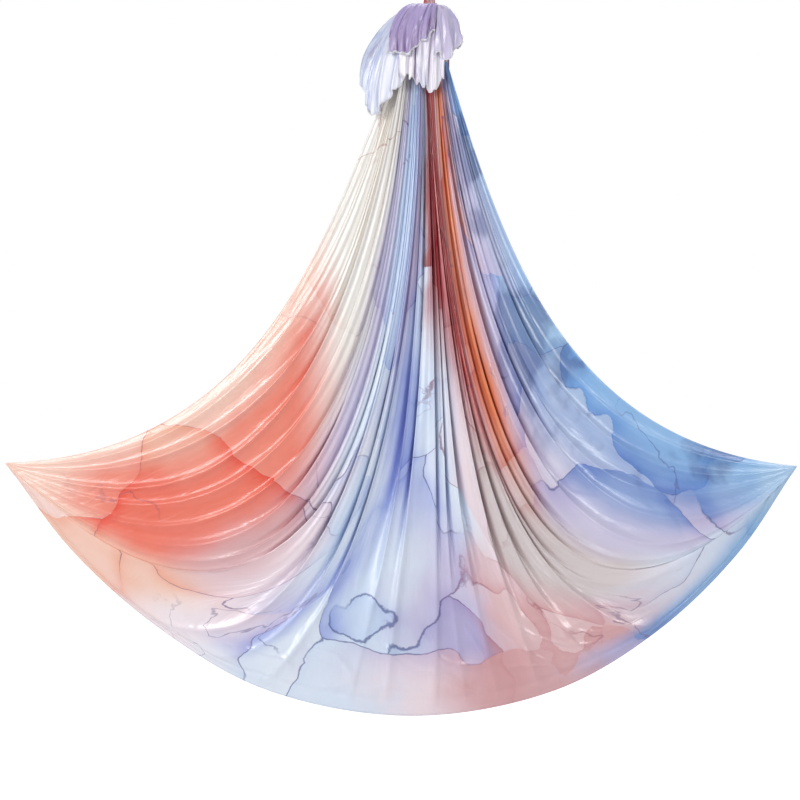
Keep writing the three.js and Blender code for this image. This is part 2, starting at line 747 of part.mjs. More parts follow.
add("carabiner_body", carabinerBody(), "#a9adb2", 0.3, 1);
add("gate", gate(), "#b4b8bc", 0.3, 1);
add("gate_pin", gatePin(), "#8f9398", 0.35, 1);
add("latch_pin", latchPin(), "#8f9398", 0.35, 1);
add("spring_plunger", springPlunger(), "#9b9fa3", 0.35, 1);
add("gate_spring", gateSpring(), "#7d8186", 0.3, 1);
add("lock_sleeve", lockSleeve(), "#85898e", 0.4, 1);
add("front_neck", neck(-1), "#d9d4ea", 0.5, 0);
add("back_neck", neck(1), "#d9d4ea", 0.5, 0);
add("front_panel", panel(-1, true), "#c7d3ee", 0.45, 0);
add("back_panel", panel(1, false), "#d6dcf0", 0.5, 0);
add("tie", tie(), "#cfc8e6", 0.5, 0);
for (const name of Object.keys(hemShares)) add(name, tail(name), "#dcd8ee", 0.5, 0);

export default root;
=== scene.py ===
"""Aerial yoga hammock: one sheet of satin tricot, folded in half, gathered at both ends, hung over
the basket of a steel screw-lock carabiner and tied there. Metres, +Z up, origin at the inside top
of the carabiner. The front layer of cloth is at -Y."""

import math

import bpy
import numpy as np
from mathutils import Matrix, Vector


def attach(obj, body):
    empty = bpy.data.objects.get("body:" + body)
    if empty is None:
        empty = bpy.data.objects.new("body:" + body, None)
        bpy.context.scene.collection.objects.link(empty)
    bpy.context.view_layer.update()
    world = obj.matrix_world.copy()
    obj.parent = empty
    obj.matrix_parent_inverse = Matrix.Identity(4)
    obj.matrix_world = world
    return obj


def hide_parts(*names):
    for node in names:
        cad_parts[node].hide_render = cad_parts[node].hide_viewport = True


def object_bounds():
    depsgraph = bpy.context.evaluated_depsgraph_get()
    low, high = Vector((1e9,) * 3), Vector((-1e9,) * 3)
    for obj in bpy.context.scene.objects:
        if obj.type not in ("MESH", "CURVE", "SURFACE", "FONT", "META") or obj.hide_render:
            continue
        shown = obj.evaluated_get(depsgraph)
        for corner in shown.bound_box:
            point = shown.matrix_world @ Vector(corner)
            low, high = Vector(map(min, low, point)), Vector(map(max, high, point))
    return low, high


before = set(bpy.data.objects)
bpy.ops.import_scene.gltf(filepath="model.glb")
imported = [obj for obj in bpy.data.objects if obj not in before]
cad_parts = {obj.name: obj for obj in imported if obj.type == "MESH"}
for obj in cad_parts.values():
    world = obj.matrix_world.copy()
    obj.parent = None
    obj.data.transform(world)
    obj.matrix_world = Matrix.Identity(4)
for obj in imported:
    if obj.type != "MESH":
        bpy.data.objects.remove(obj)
cad_low, cad_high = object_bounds()

# The view, the light and the floor.
# The hammock hangs in a plain white studio, lit by three soft boxes in front, one above and one behind.
# The floor is white to the camera, and keeps the hammock's shadow.
PIXEL = 0.002829  # metres across one pixel of the picture, at the hammock
THROAT_PIXEL = (430, 62)  # where the gathers open
PICTURE_SIZE = 800
THROAT_Z = -0.2855
CAMERA_DISTANCE = 9.0
SENSOR_WIDTH = 36  # in millimetres

bpy.context.scene.view_settings.view_transform = "Standard"
middle_pixel = PICTURE_SIZE / 2
view_x = (middle_pixel - THROAT_PIXEL[0]) * PIXEL
view_z = THROAT_Z - (middle_pixel - THROAT_PIXEL[1]) * PIXEL
camera = bpy.data.cameras.new("view")
camera.sensor_width = SENSOR_WIDTH
camera.lens = camera.sensor_width * CAMERA_DISTANCE / (PICTURE_SIZE * PIXEL)
camera_object = bpy.data.objects.new("view", camera)
camera_object.location = (view_x, -CAMERA_DISTANCE, view_z)
camera_object.rotation_euler = (math.pi / 2, 0, 0)
bpy.context.scene.collection.objects.link(camera_object)
bpy.context.scene.camera = camera_object

soft_boxes = {
    "soft_box_key": {"place": (-2.6, -4.6, 1.0), "size": 0.9, "power": 70},
    "soft_box_left": {"place": (-4.4, -3.2, -0.2), "size": 2.4, "power": 70},
    "soft_box_right": {"place": (3.2, -4.4, 0.4), "size": 1.1, "power": 55},
    "soft_box_top": {"place": (0.2, 0.8, 2.6), "size": 2.4, "power": 50},
    "soft_box_back": {"place": (1.5, 4.6, 0.4), "size": 2.0, "power": 115},
}
for name, box in soft_boxes.items():
    lamp = bpy.data.lights.new(name, "AREA")
    lamp.size = box["size"]
    lamp.energy = box["power"]
    holder = bpy.data.objects.new(name, lamp)
    holder.location = box["place"]
    towards = np.array((view_x, 0, view_z)) - np.array(box["place"])
    flat_reach = math.hypot(towards[0], towards[1])
    holder.rotation_euler = (
        math.atan2(flat_reach, -towards[2]),
        0,
        math.atan2(towards[1], towards[0]) - math.pi / 2,
    )
    bpy.context.scene.collection.objects.link(holder)

ROOM_STRENGTH = 0.3  # the light that comes from all round
world = bpy.data.worlds.new("studio")
bpy.context.scene.world = world
world.use_nodes = True
tree = world.node_tree
tree.nodes.clear()
path = tree.nodes.new("ShaderNodeLightPath")
seen = tree.nodes.new("ShaderNodeMath")
seen.operation = "MAXIMUM"
seen_or_bent = tree.nodes.new("ShaderNodeMath")
seen_or_bent.operation = "MAXIMUM"
room = tree.nodes.new("ShaderNodeBackground")
room.inputs["Color"].default_value = (0.96, 0.97, 1.0, 1)
room.inputs["Strength"].default_value = ROOM_STRENGTH
white = tree.nodes.new("ShaderNodeBackground")
white.inputs["Color"].default_value = (1, 1, 1, 1)
mixed = tree.nodes.new("ShaderNodeMixShader")
sky = tree.nodes.new("ShaderNodeOutputWorld")
tree.links.new(path.outputs["Is Camera Ray"], seen.inputs[0])
tree.links.new(path.outputs["Is Glossy Ray"], seen.inputs[1])
tree.links.new(seen.outputs[0], seen_or_bent.inputs[0])
tree.links.new(path.outputs["Is Transmission Ray"], seen_or_bent.inputs[1])
tree.links.new(seen_or_bent.outputs[0], mixed.inputs["Fac"])
tree.links.new(room.outputs[0], mixed.inputs[1])
tree.links.new(white.outputs[0], mixed.inputs[2])
tree.links.new(mixed.outputs[0], sky.inputs["Surface"])

FLOOR_DROP = 0.75  # the floor, below the lowest cloth
FLOOR_REACH = 60
FLOOR_GLOW = (0.3, 0.85)  # under the hammock, and far away
FLOOR_GLOW_AT = (1.2, 4.0)  # where the one starts to turn into the other, and where it ends
floor_z = cad_low.z - FLOOR_DROP
floor_mesh = bpy.data.meshes.new("floor")
corners = [(-1, -1), (1, -1), (1, 1), (-1, 1)]
floor_corners = [(x * FLOOR_REACH, y * FLOOR_REACH, floor_z) for x, y in corners]
floor_mesh.from_pydata(floor_corners, [], [(0, 1, 2, 3)])
floor = bpy.data.objects.new("floor", floor_mesh)
bpy.context.scene.collection.objects.link(floor)
floor_paint = bpy.data.materials.new("pale_floor")
floor_paint.use_nodes = True
tree = floor_paint.node_tree
shader = tree.nodes["Principled BSDF"]
shader.inputs["Base Color"].default_value = (0.93, 0.93, 0.94, 1)
shader.inputs["Roughness"].default_value = 0.8
shader.inputs["Emission Color"].default_value = (1, 1, 1, 1)
path = tree.nodes.new("ShaderNodeLightPath")
lift = tree.nodes.new("ShaderNodeMath")
lift.operation = "MULTIPLY"
place = tree.nodes.new("ShaderNodeTexCoord")
flatten = tree.nodes.new("ShaderNodeVectorMath")
flatten.operation = "MULTIPLY"
flatten.inputs[1].default_value = (1, 1, 0)
away = tree.nodes.new("ShaderNodeVectorMath")
away.operation = "LENGTH"
glow = tree.nodes.new("ShaderNodeMapRange")
glow.inputs["From Min"].default_value = FLOOR_GLOW_AT[0]
glow.inputs["From Max"].default_value = FLOOR_GLOW_AT[1]
glow.inputs["To Min"].default_value = FLOOR_GLOW[0]
glow.inputs["To Max"].default_value = FLOOR_GLOW[1]
tree.links.new(place.outputs["Object"], flatten.inputs[0])
tree.links.new(flatten.outputs[0], away.inputs[0])
tree.links.new(away.outputs["Value"], glow.inputs["Value"])
tree.links.new(path.outputs["Is Camera Ray"], lift.inputs[0])
tree.links.new(glow.outputs["Result"], lift.inputs[1])
tree.links.new(lift.outputs[0], shader.inputs["Emission Strength"])
floor_mesh.materials.append(floor_paint)

# Front layer of the sheet, with the soft roll of the lower fold.
# Satin nylon tricot, 2.8 m wide, gathered at the throat into folds that lap over each other. They open
# on the way down to the lower fold, and at the sides they swing out to the two spread tips.
HALF_SPAN = 1.12
DROP = 1.85
CLOTH_WIDTH = 2.8
NECK_LENGTH = 0.19  # from the bar to the throat
LAYER_LENGTH = 1.85  # from the throat to the lower fold, along the cloth
TIP_SHARE = 0.3
NECK_GAP = 0.003
SEAT_GAP = 0.027
EDGE_GAP_SHARE = 0.3
PLEAT_DEPTH = 0.042
ROLL_RADIUS = 0.013
TIP_RADIUS = 0.003
TIP_HEIGHT = 0.014
TUCK_DEPTH = 3  # of the spare cloth's width, shared out over the tucks
LAP_REACH = 1.9
STREAK_SHARE = 0.13  # of a fold's width, how deep the fine streaks on its face are
LAP_WIDTH = 0.02
MIDDLE_ROOM = 0.003  # what a tuck leaves free of the plane between the two layers
WAVE_HEIGHT = 0.012
RIPPLE_HEIGHT = 0.003
RIM_CREASE = 0.03  # a crease that follows the lower fold, this far above it
RIM_CREASE_WIDTH = 0.008
RIM_CREASE_DEPTH = 0.0055
RIM_CREASE_MIDDLE_SHARE = 0.35  # its depth in the middle of the cloth, of that at the tips
RIM_CREASE_ROOM = 0.012  # near the middle plane the crease runs out
RIM_CREASE_START = 0.01
CRUMPLE_HEIGHT = 0.009
CRUMPLE_PLACE = 0.12  # above the lower fold
CRUMPLE_REACH = 0.08
SEAT_STEPS = 60

# The fold lines, at these shares of the width. Each is one curve: where it starts (x), what it is drawn
# towards (x, z) and how it comes in (x, z), as shares of HALF_SPAN and DROP.
line_shares = np.array([0, 0.15, 0.3, 0.4, 0.5, 0.6, 0.7, 0.85, 1])
pull_shares = np.array(
    [
        [-0.075, -0.24, 0.2, -0.365, 0.6],
        [-0.06, -0.165, 0.56, -0.455, 0.81],
        [-0.04, -0.1, 0.9, -0.6, 0.89],
        [-0.028, -0.03, 0.58, -0.3, 0.92],
        [-0.015, 0, 0.35, -0.035, 0.67],
        [-0.003, 0.05, 0.55, 0.22, 0.9],
        [0.01, 0.06, 0.88, 0.5, 0.89],
        [0.025, 0.12, 0.58, 0.43, 0.88],
        [0.043, 0.19, 0.305, 0.355, 0.585],
    ]
)
# The lower fold from tip to tip (x, z), in the same shares.
seat_shares = np.array(
    [
        [-1.065, 0.62],
        [-0.9, 0.75],
        [-0.675, 0.87],
        [-0.415, 0.96],
        [-0.045, 1],
        [0.32, 0.96],
        [0.575, 0.87],
        [0.78, 0.75],
        [0.92, 0.625],
    ]
)


def hermite(start, end, start_slope, end_slope, u):
    """A smooth step from one value to the next, with the slope it has at each."""
    rise = end - start
    bend = 3 * rise - 2 * start_slope - end_slope
    return start + u * (start_slope + u * (bend + u * (start_slope + end_slope - 2 * rise)))


def smooth_rows(stations, rows, share):
    """The rows of a table, drawn through smoothly at every share."""
    last = len(rows) - 1
    low = np.clip(np.searchsorted(stations, share, "left") - 1, 0, last - 1)
    span = (stations[low + 1] - stations[low])[:, None]
    u = np.clip((share - stations[low])[:, None] / span, 0, 1)
    before = np.maximum(np.arange(last + 1) - 1, 0)
    after = np.minimum(np.arange(last + 1) + 1, last)
    slope = (rows[after] - rows[before]) / (stations[after] - stations[before])[:, None]
    return hermite(rows[low], rows[low + 1], slope[low] * span, slope[low + 1] * span, u)


def seat_line():
    """Points along the lower fold, and their shares of its length."""
    points = np.stack([seat_shares[:, 0] * HALF_SPAN, THROAT_Z - seat_shares[:, 1] * DROP], 1)
    ends = np.vstack([2 * points[0] - points[1], points, 2 * points[-1] - points[-2]])
    knots = np.sqrt(np.linalg.norm(np.diff(ends, axis=0), axis=1))
    u = np.linspace(0, 1, SEAT_STEPS, endpoint=False)[:, None]
    spans = []
    for i in range(len(points) - 1):
        p0, p1, p2, p3 = ends[i : i + 4]
        a, b, c = knots[i : i + 3]
        leave = b * ((p1 - p0) / a - (p2 - p0) / (a + b) + (p2 - p1) / b)
        arrive = b * ((p2 - p1) / b - (p3 - p1) / (b + c) + (p3 - p2) / c)
        spans.append(hermite(p1, p2, leave, arrive, u))
    line = np.vstack(spans + [points[-1:]])
    length = np.concatenate([[0], np.cumsum(np.linalg.norm(np.diff(line, axis=0), axis=1))])
    return line, length / length[-1]


seat_points, seat_stations = seat_line()


def seat_end(share):
    """Where fold lines meet the lower fold: the roll's middle, outwards, its radius, and how far along."""
    across = np.clip((share - TIP_SHARE) / (1 - 2 * TIP_SHARE), 0, 1)
    along = 0.5 * across + 0.5 * (0.5 + np.arcsin(2 * across - 1) / math.pi)
    at = np.stack([np.interp(along, seat_stations, seat_points[:, i]) for i in (0, 1)], 1)
    slopes = np.gradient(seat_points, seat_stations, axis=0)
    tangent = np.stack([np.interp(along, seat_stations, slopes[:, i]) for i in (0, 1)], 1)
    tangent /= np.linalg.norm(tangent, axis=1)[:, None]
    outward = np.stack([tangent[:, 1], -tangent[:, 0]], 1)
    radius = TIP_RADIUS + (ROLL_RADIUS - TIP_RADIUS) * np.sin(math.pi * along)
    past = np.maximum(TIP_SHARE - share, 0) - np.maximum(share - 1 + TIP_SHARE, 0)
    at = at - (past / TIP_SHARE * TIP_HEIGHT)[:, None] * tangent - radius[:, None] * outward
    return at, outward, radius, along


def fold_lines(share, down):
    """x and z of every fold line (columns) at every row, seen from the front."""
    top_x, pull_x, pull_z, hold_x, hold_z = smooth_rows(line_shares, pull_shares, share).T
    start = np.stack([top_x * HALF_SPAN, np.full_like(share, THROAT_Z)], 1)
    pull = np.stack([pull_x * HALF_SPAN, THROAT_Z - pull_z * DROP], 1)
    hold = np.stack([hold_x * HALF_SPAN, THROAT_Z - hold_z * DROP], 1)
    end = seat_end(share)[0]
    u = down[:, None, None]
    return (1 - u) ** 3 * start + 3 * u * (1 - u) ** 2 * pull + 3 * u**2 * (1 - u) * hold + u**3 * end


WANDER_WAVES = 7
WANDER_SPREAD = (0.4, 1.3)  # of the turns of each wave
WANDER_SOFTENING = 2.4


def wander(share, down, across, along, seed):
    """A smooth field between -1 and 1 that changes `across` times over the shares, `along` times down."""
    rng = np.random.default_rng(seed)
    field = 0
    for _ in range(WANDER_WAVES):
        turns = across * rng.uniform(*WANDER_SPREAD) * rng.choice((-1, 1))
        slow = along * rng.uniform(-1, 1)
        field = field + np.sin(2 * math.pi * (turns * share + slow * down + rng.uniform()))
    return np.tanh(field / WANDER_SOFTENING)


# The crests of the front layer's folds: the place of each as a share of the width, how high it stands,
# and where it begins on the way down. The middle fold lies on top. Each other one has its crest on its
# outer side, and tucks in under its neighbour. Further down the laps open into rounded ridges.
crest_shares = np.array(
    [
        [0, 0.35, 0],
        [0.03, 0.5, 0.42],
        [0.065, 0.95, 0.3],
        [0.1, 1, 0],
        [0.15, 0.6, 0.35],
        [0.19, 0.95, 0.03],
        [0.225, 0.5, 0.3],
        [0.26, 0.8, 0],
        [0.303, 0.85, 0.18],
        [0.36, 0.8, 0],
        [0.4, 0.5, 0.28],
        [0.435, 0.85, 0],
        [0.476, 0.7, 0.12],
        [0.495, 0.85, 0],
        [0.518, 1, 0],
        [0.532, 0.6, 0.22],
        [0.546, 0.7, 0.04],
        [0.572, 0.9, 0],
        [0.605, 0.6, 0.3],
        [0.645, 0.8, 0],
        [0.69, 0.6, 0.26],
        [0.735, 0.85, 0],
        [0.775, 0.6, 0.2],
        [0.82, 1, 0],
        [0.87, 0.6, 0.1],
        [0.91, 0.75, 0.33],
        [0.95, 0.9, 0],
        [0.975, 0.5, 0.4],
        [1, 0.35, 0],
    ]
)
FOLD_COLUMNS = 20
TUCK_COLUMNS = 9  # of these, in the tuck under the next fold
MIDDLE_FOLD = 13
CLOTH_KEPT = 0.95  # of the cloth's width, the rest is taken up by creases too fine to draw
RIDGE_HEIGHT = 0.019
RIDGE_WIDTH = 0.011
ROW_PACKING = 1.35  # the rows lie closer together towards the lower fold
STATION_COUNT = 801
LEAST_SPACING = 1e-4
TINY = 1e-9  # keeps a division from meeting zero
CREST_DRIFT_SHARE = 0.24
SPARE_ROUNDING = 0.1
ROLL_FADE = 18  # the higher, the nearer to the roll the folds run out
BEGIN_SHARE = 0.24  # how long a fold takes to come up, of the way down
LAP_END_SHARE = 0.26  # down to here the folds lap at the sides, and this much further in the middle
LAP_END_MIDDLE_SHARE = 0.24
LAP_OPENING_SHARE = 0.34  # how long the laps take to open
MIDDLE_SHARE = 0.17
BEGIN_LEAD = 0.08
BEGUN_LEAST = 0.02
CREST_DRIFT_TURNS = (0.4, 1.2)
CREST_SWING_SHARE = 0.2  # how far a crest goes up and down, of its height
RIDGE_ROOM_SHARE = 0.3
RIDGE_WIDTH_SHARE = 0.2  # of the fold's width, at most
FACE_PACKING = 1.5  # a face's columns lie closer together near its crest
OPEN_MOUTH_SHARE = 0.38
ROUND_TOP_SHARE = 0.25
STREAKS_PER_FACE = 2
SWELL_POWERS = (0.6, 6)  # how fast the gap between the layers opens above, and closes below
TUCK_POWER = 0.7
TUCK_WEIGHT_FLOOR = 0.1
WAVE_COUNTS = (4, 0.7)  # across the cloth, and down it
RIPPLE_COUNTS = (13, 1.4)
CRUMPLE_COUNTS = (15, 9)
CRUMPLE_POWER = 3
# These follow the gathering, from 0 where the cloth hangs flat to 1 where it is all drawn together. Each
# is the value where it hangs flat, and what the gathering adds.
PLEAT_DEPTH_SHARES = (0.42, 0.58)
PLEAT_ROOM_SHARES = (0.24, 6)  # of the room beside a crest, with the square of the gathering
KEPT_SHARES = (0.25, 0.5)  # how much of its crest's height a face keeps
MOUTH_SHARES = (0.26, -0.14)  # how much of a fold's width lies in its tuck
SCOOP_POWERS = (3.4, -2.3)  # how hollow a face is


def by_gathering(pair, gathered):
    """A value that follows the gathering."""
    return pair[0] + pair[1] * gathered


def at_share(table, share):
    """A table's values at shares of its width, in every row, drawn straight from station to station."""
    last = table.shape[1] - 1
    place = np.clip(share, 0, 1) * last
    low = np.clip(place.astype(int), 0, last - 1)
    row = np.arange(len(table))[:, None]
    part = place - low
    part = part[..., None] if table.ndim == 3 else part
    return table[row, low] * (1 - part) + table[row, low + 1] * part


def ease(value):
    """A smooth step from 0 to 1."""
    value = np.clip(value, 0, 1)
    return value * value * (3 - 2 * value)


def fold_layout(count, middle):
    """For every column: the crests on its own and on its neighbour's side, its place in face or tuck."""
    face_columns = FOLD_COLUMNS - TUCK_COLUMNS
    own, near, face, tuck = [], [], [], []
    for fold in range(count):
        for column in range(FOLD_COLUMNS + (fold == count - 1)):
            left = fold <= middle
            step = column if left else FOLD_COLUMNS - column
            whole = FOLD_COLUMNS if fold == middle else face_columns
            own.append(fold if left else fold + 1)
            near.append(fold + 1 if left else fold)
            face.append(min(step / whole, 1) ** (1 if fold == middle else FACE_PACKING))
            tuck.append(max(step - whole, 0) / TUCK_COLUMNS)
    return np.array(own), np.array(near), np.array(face), np.array(tuck)


def width_reached(line, down, stations):
    """For every row: the width from the first fold line to each of the others, measured square to them."""
    run = np.gradient(line, down, axis=0)
    run /= np.linalg.norm(run, axis=2)[..., None] + TINY
    square = np.stack([-run[..., 1], run[..., 0]], 2)
    spacing = np.clip((np.gradient(line, stations, axis=1) * square).sum(2), LEAST_SPACING, None)
    between = (spacing[:, 1:] + spacing[:, :-1]) / 2
    reached = np.concatenate([np.zeros((len(down), 1)), np.cumsum(between, axis=1)], 1)
    return reached / (len(stations) - 1)


def layer_gap(share, d, radius, fade, seed):
    """How far out a layer lies from the middle plane under its folds, with its broad waves."""
    arch = np.clip(np.sin(math.pi * np.clip(share, 0, 1)), 0, 1)
    edge = EDGE_GAP_SHARE + (1 - EDGE_GAP_SHARE) * np.sqrt(arch)
    opening = np.clip(np.sin(math.pi * d), 0, 1) ** SWELL_POWERS[0]
    swell = np.where(d < 0.5, opening, 1 - (2 * d - 1) ** SWELL_POWERS[1])
    base = NECK_GAP + (radius - NECK_GAP) * d + SEAT_GAP * edge * swell
    waves = WAVE_HEIGHT * (1 + wander(share, d, *WAVE_COUNTS, seed + 5))
    waves = waves + RIPPLE_HEIGHT * wander(share, d, *RIPPLE_COUNTS, seed + 6)
    return base + waves * fade * swell * edge


def low_creases(share, d, from_fold, out, seed):
    """What the crease along the lower fold and the crumples above it add to a layer's height."""
    along = seat_end(share[-1])[3]
    rim = np.exp(-(((from_fold - RIM_CREASE) / RIM_CREASE_WIDTH) ** 2))
    to_tips = (1 - RIM_CREASE_MIDDLE_SHARE) * np.cos(math.pi * along) ** 2
    rim = rim * (RIM_CREASE_MIDDLE_SHARE + to_tips)
    clear = np.clip(np.minimum(from_fold / RIM_CREASE_START, out / RIM_CREASE_ROOM - 0.5), 0, 1)
    crumple = np.exp(-(((from_fold - CRUMPLE_PLACE) / CRUMPLE_REACH) ** 2))
    crumple = crumple * np.clip(np.sin(math.pi * along), 0, 1) ** CRUMPLE_POWER
    crumple = crumple * (1 - np.abs(wander(share, d, *CRUMPLE_COUNTS, seed + 7))) ** CRUMPLE_POWER
    return CRUMPLE_HEIGHT * crumple - RIM_CREASE_DEPTH * rim * clear


def panel(side, crest_table, middle, seed, rows):
    """One layer of the sheet as a grid of points, with its place on the flat cloth and in the folds."""
    rng = np.random.default_rng(seed)
    down = 1 - (1 - np.linspace(0, 1, rows)) ** ROW_PACKING
    d = down[:, None]
    stations = np.linspace(0, 1, STATION_COUNT)
    line = fold_lines(stations, down)
    reached = width_reached(line, down, stations)

    # How much cloth there is to spare at each height, and how far it is drawn together.
    crests, heights, begins = crest_table.T
    count = len(crests) - 1
    steps = np.diff(crests)
    room = np.concatenate([[0], np.minimum(steps[1:], steps[:-1]), [0]])
    turns = rng.uniform(*CREST_DRIFT_TURNS, (2, count + 1))
    phase = rng.uniform(0, 1, (2, count + 1))
    crest_at = crests + CREST_DRIFT_SHARE * room * np.sin(2 * math.pi * (turns[0] * d + phase[0]))
    wide = np.diff(at_share(reached, crest_at), axis=1)
    spare = CLOTH_KEPT * CLOTH_WIDTH - wide.sum(1)[:, None]
    spare = 0.5 * (spare + np.sqrt(spare**2 + SPARE_ROUNDING**2))
    gathered = spare / (CLOTH_KEPT * CLOTH_WIDTH)
    fade = 1 - d**ROLL_FADE

    # How high each crest stands, and where its fold laps over the next one.
    begun = ease(np.where(begins > 0, BEGIN_LEAD + (d - begins) / BEGIN_SHARE, 1))
    begun = np.maximum(begun, BEGUN_LEAST)
    crest_room = np.concatenate([wide[:, :1], (wide[:, 1:] + wide[:, :-1]) / 2, wide[:, -1:]], 1)
    inner = np.exp(-(((crests - 0.5) / MIDDLE_SHARE) ** 2))
    lapped = 1 - ease((d - LAP_END_SHARE - LAP_END_MIDDLE_SHARE * inner) / LAP_OPENING_SHARE)
    pleat_room = crest_room * by_gathering(PLEAT_ROOM_SHARES, gathered**2)
    pleat = np.minimum(PLEAT_DEPTH * by_gathering(PLEAT_DEPTH_SHARES, gathered), pleat_room)
    ridge = np.minimum(RIDGE_HEIGHT, RIDGE_ROOM_SHARE * crest_room)
    kept = by_gathering(KEPT_SHARES, gathered)
    crest_swing = CREST_SWING_SHARE * np.sin(2 * math.pi * (2 * turns[1] * d + phase[1]))
    stands = heights * (1 - CREST_SWING_SHARE + crest_swing)
    for crest in list(range(1, middle + 1)) + list(range(count - 1, middle, -1)):
        outer = crest - 1 if crest <= middle else crest + 1
        level = kept[:, 0] * stands[:, outer]
        stands[:, crest] = level + begun[:, crest] * (stands[:, crest] - level)
    tall = stands * (lapped * pleat + (1 - lapped) * ridge * begun) * fade

    # Each fold's section: a face that falls away from its crest, and the tuck under its neighbour.
    own, near, face, tuck = fold_layout(count, middle)
    fold = np.minimum(own, near)
    width = wide[:, fold]
    own_height, near_height, lap_here = tall[:, own], tall[:, near], lapped[:, near]
    mouth = lap_here * by_gathering(MOUTH_SHARES, gathered) + (1 - lap_here) * OPEN_MOUTH_SHARE
    lap = LAP_REACH * gathered * np.minimum(1, LAP_WIDTH / width) * begun[:, near] * lap_here
    in_tuck = 1 - mouth + mouth * tuck + lap * np.sin(math.pi * tuck)
    from_own = np.where(tuck > 0, in_tuck, face * (1 - mouth))
    from_own = np.where(fold == middle, face, from_own)
    scoop = by_gathering(SCOOP_POWERS, gathered)
    round_top = ROUND_TOP_SHARE * gathered * np.sin(math.pi * face) * begun[:, own] * begun[:, near]
    fall = kept + (1 - kept) * (1 - face) ** scoop + round_top
    middle_fall = kept + (1 - kept) * np.abs(2 * face - 1) ** scoop + round_top
    middle_height = middle_fall * (own_height * (1 - face) + near_height * face)
    share = crest_at[:, own] + (crest_at[:, near] - crest_at[:, own]) * from_own

    radius = at_share(seat_end(stations)[2][None, :], share)
    base = layer_gap(share, d, radius, fade, seed)
    inwards = np.where(np.arange(count) <= middle, np.arange(count) + 1, np.arange(count))
    weight = np.sqrt(steps) * begun[:, inwards] * lapped[:, inwards]
    weight = weight / (weight.sum(1)[:, None] + TUCK_WEIGHT_FLOOR)
    deep = TUCK_DEPTH * spare * weight[:, fold] * stands[:, near]
    deep = np.minimum(deep, np.clip(base + kept * own_height - MIDDLE_ROOM, 0, None)) * fade
    tuck_height = kept * own_height * (1 - tuck) + near_height * tuck
    tuck_height = tuck_height - deep * np.sin(math.pi * tuck) ** TUCK_POWER
    face_height = np.where(fold == middle, middle_height, own_height * fall)
    streaks = STREAK_SHARE * width * gathered * lap_here * np.sin(math.pi * face) ** 0.5
    streak_turn = STREAKS_PER_FACE * face + phase[0][own] + turns[1][own] * d
    face_height = face_height + streaks * np.sin(2 * math.pi * streak_turn)
    lapped_height = np.where((tuck > 0) & (fold != middle), tuck_height, face_height)

    # Where the cloth hangs looser, the crests turn into rounded ridges with a hollow between them.
    narrow = np.minimum(RIDGE_WIDTH, RIDGE_WIDTH_SHARE * width)
    open_height = own_height / (1 + (width * from_own / narrow) ** 2)
    open_height = open_height + near_height / (1 + (width * (1 - from_own) / narrow) ** 2)
    out = base + lap_here * lapped_height + (1 - lap_here) * open_height

    place = at_share(line, share)
    points = np.stack([place[..., 0], side * out, place[..., 1]], 2)
    points[:, 1:-1] = (points[:, :-2] + 2 * points[:, 1:-1] + points[:, 2:]) / 4
    lengths = np.linalg.norm(np.diff(place, axis=0), axis=2)
    travelled = np.vstack([np.zeros(lengths.shape[1]), np.cumsum(lengths, axis=0)])
    from_fold = travelled[-1] - travelled
    points[..., 1] += side * low_creases(share, d, from_fold, out, seed)

    across = np.linalg.norm(np.diff(points, axis=1), axis=2)
    across = np.concatenate([np.zeros((rows, 1)), np.cumsum(across, axis=1)], 1)
    flat_x = CLOTH_WIDTH * across / across[:, -1:]
    flat = np.stack([flat_x, NECK_LENGTH + LAYER_LENGTH * travelled / travelled[-1]], 2)
    zone = np.stack([share, d + 0 * share], 2)
    return points, flat, zone


def roll_rows(points, flat, zone, count):
    """The lower fold: the front layer turned under, round the roll, to the back."""
    end, outward, radius, _ = seat_end(zone[-1, :, 0])
    turned, turned_flat = [], []
    for r in range(1, count + 1):
        turn = math.pi * r / count
        at = end + outward * (radius * math.sin(turn))[:, None]
        turned.append(np.stack([at[:, 0], -radius * math.cos(turn), at[:, 1]], 1))
        turned_flat.append(flat[-1] + np.stack([0 * radius, radius * turn], 1))
    turned_zone = np.repeat(zone[-1:], count, axis=0)
    pairs = ((points, turned), (flat, turned_flat), (zone, turned_zone))
    return [np.concatenate(pair) for pair in pairs]


def grid_object(name, points, flat, flip=False, zone=None):
    """A sheet from a grid of points. Its UV maps are its flat place on the cloth, in metres, and its
    zone: its share of the width, and how far down it lies."""
    rows, columns = points.shape[:2]
    index = np.arange(rows * columns).reshape(rows, columns)
    quads = np.stack([index[:-1, :-1], index[1:, :-1], index[1:, 1:], index[:-1, 1:]], 2).reshape(-1, 4)
    if flip:
        quads = quads[:, ::-1]
    mesh = bpy.data.meshes.new(name)
    mesh.from_pydata(points.reshape(-1, 3).tolist(), [], quads.tolist())
    for map_name, table in (("flat", flat), ("zone", zone)):
        if table is not None:
            place = mesh.uv_layers.new(name=map_name)
            place.data.foreach_set("uv", table.reshape(-1, 2)[quads.reshape(-1)].ravel().astype(np.float32))
    mesh.polygons.foreach_set("use_smooth", np.ones(len(mesh.polygons), bool))
    mesh.update()
    piece = bpy.data.objects.new(name, mesh)
    bpy.context.scene.collection.objects.link(piece)
    return piece


def linear(*srgb):
    """A colour as it is seen, turned into the value that a shader takes."""
    return tuple(((c + 0.055) / 1.055) ** 2.4 if c > 0.04045 else c / 12.92 for c in srgb) + (1,)


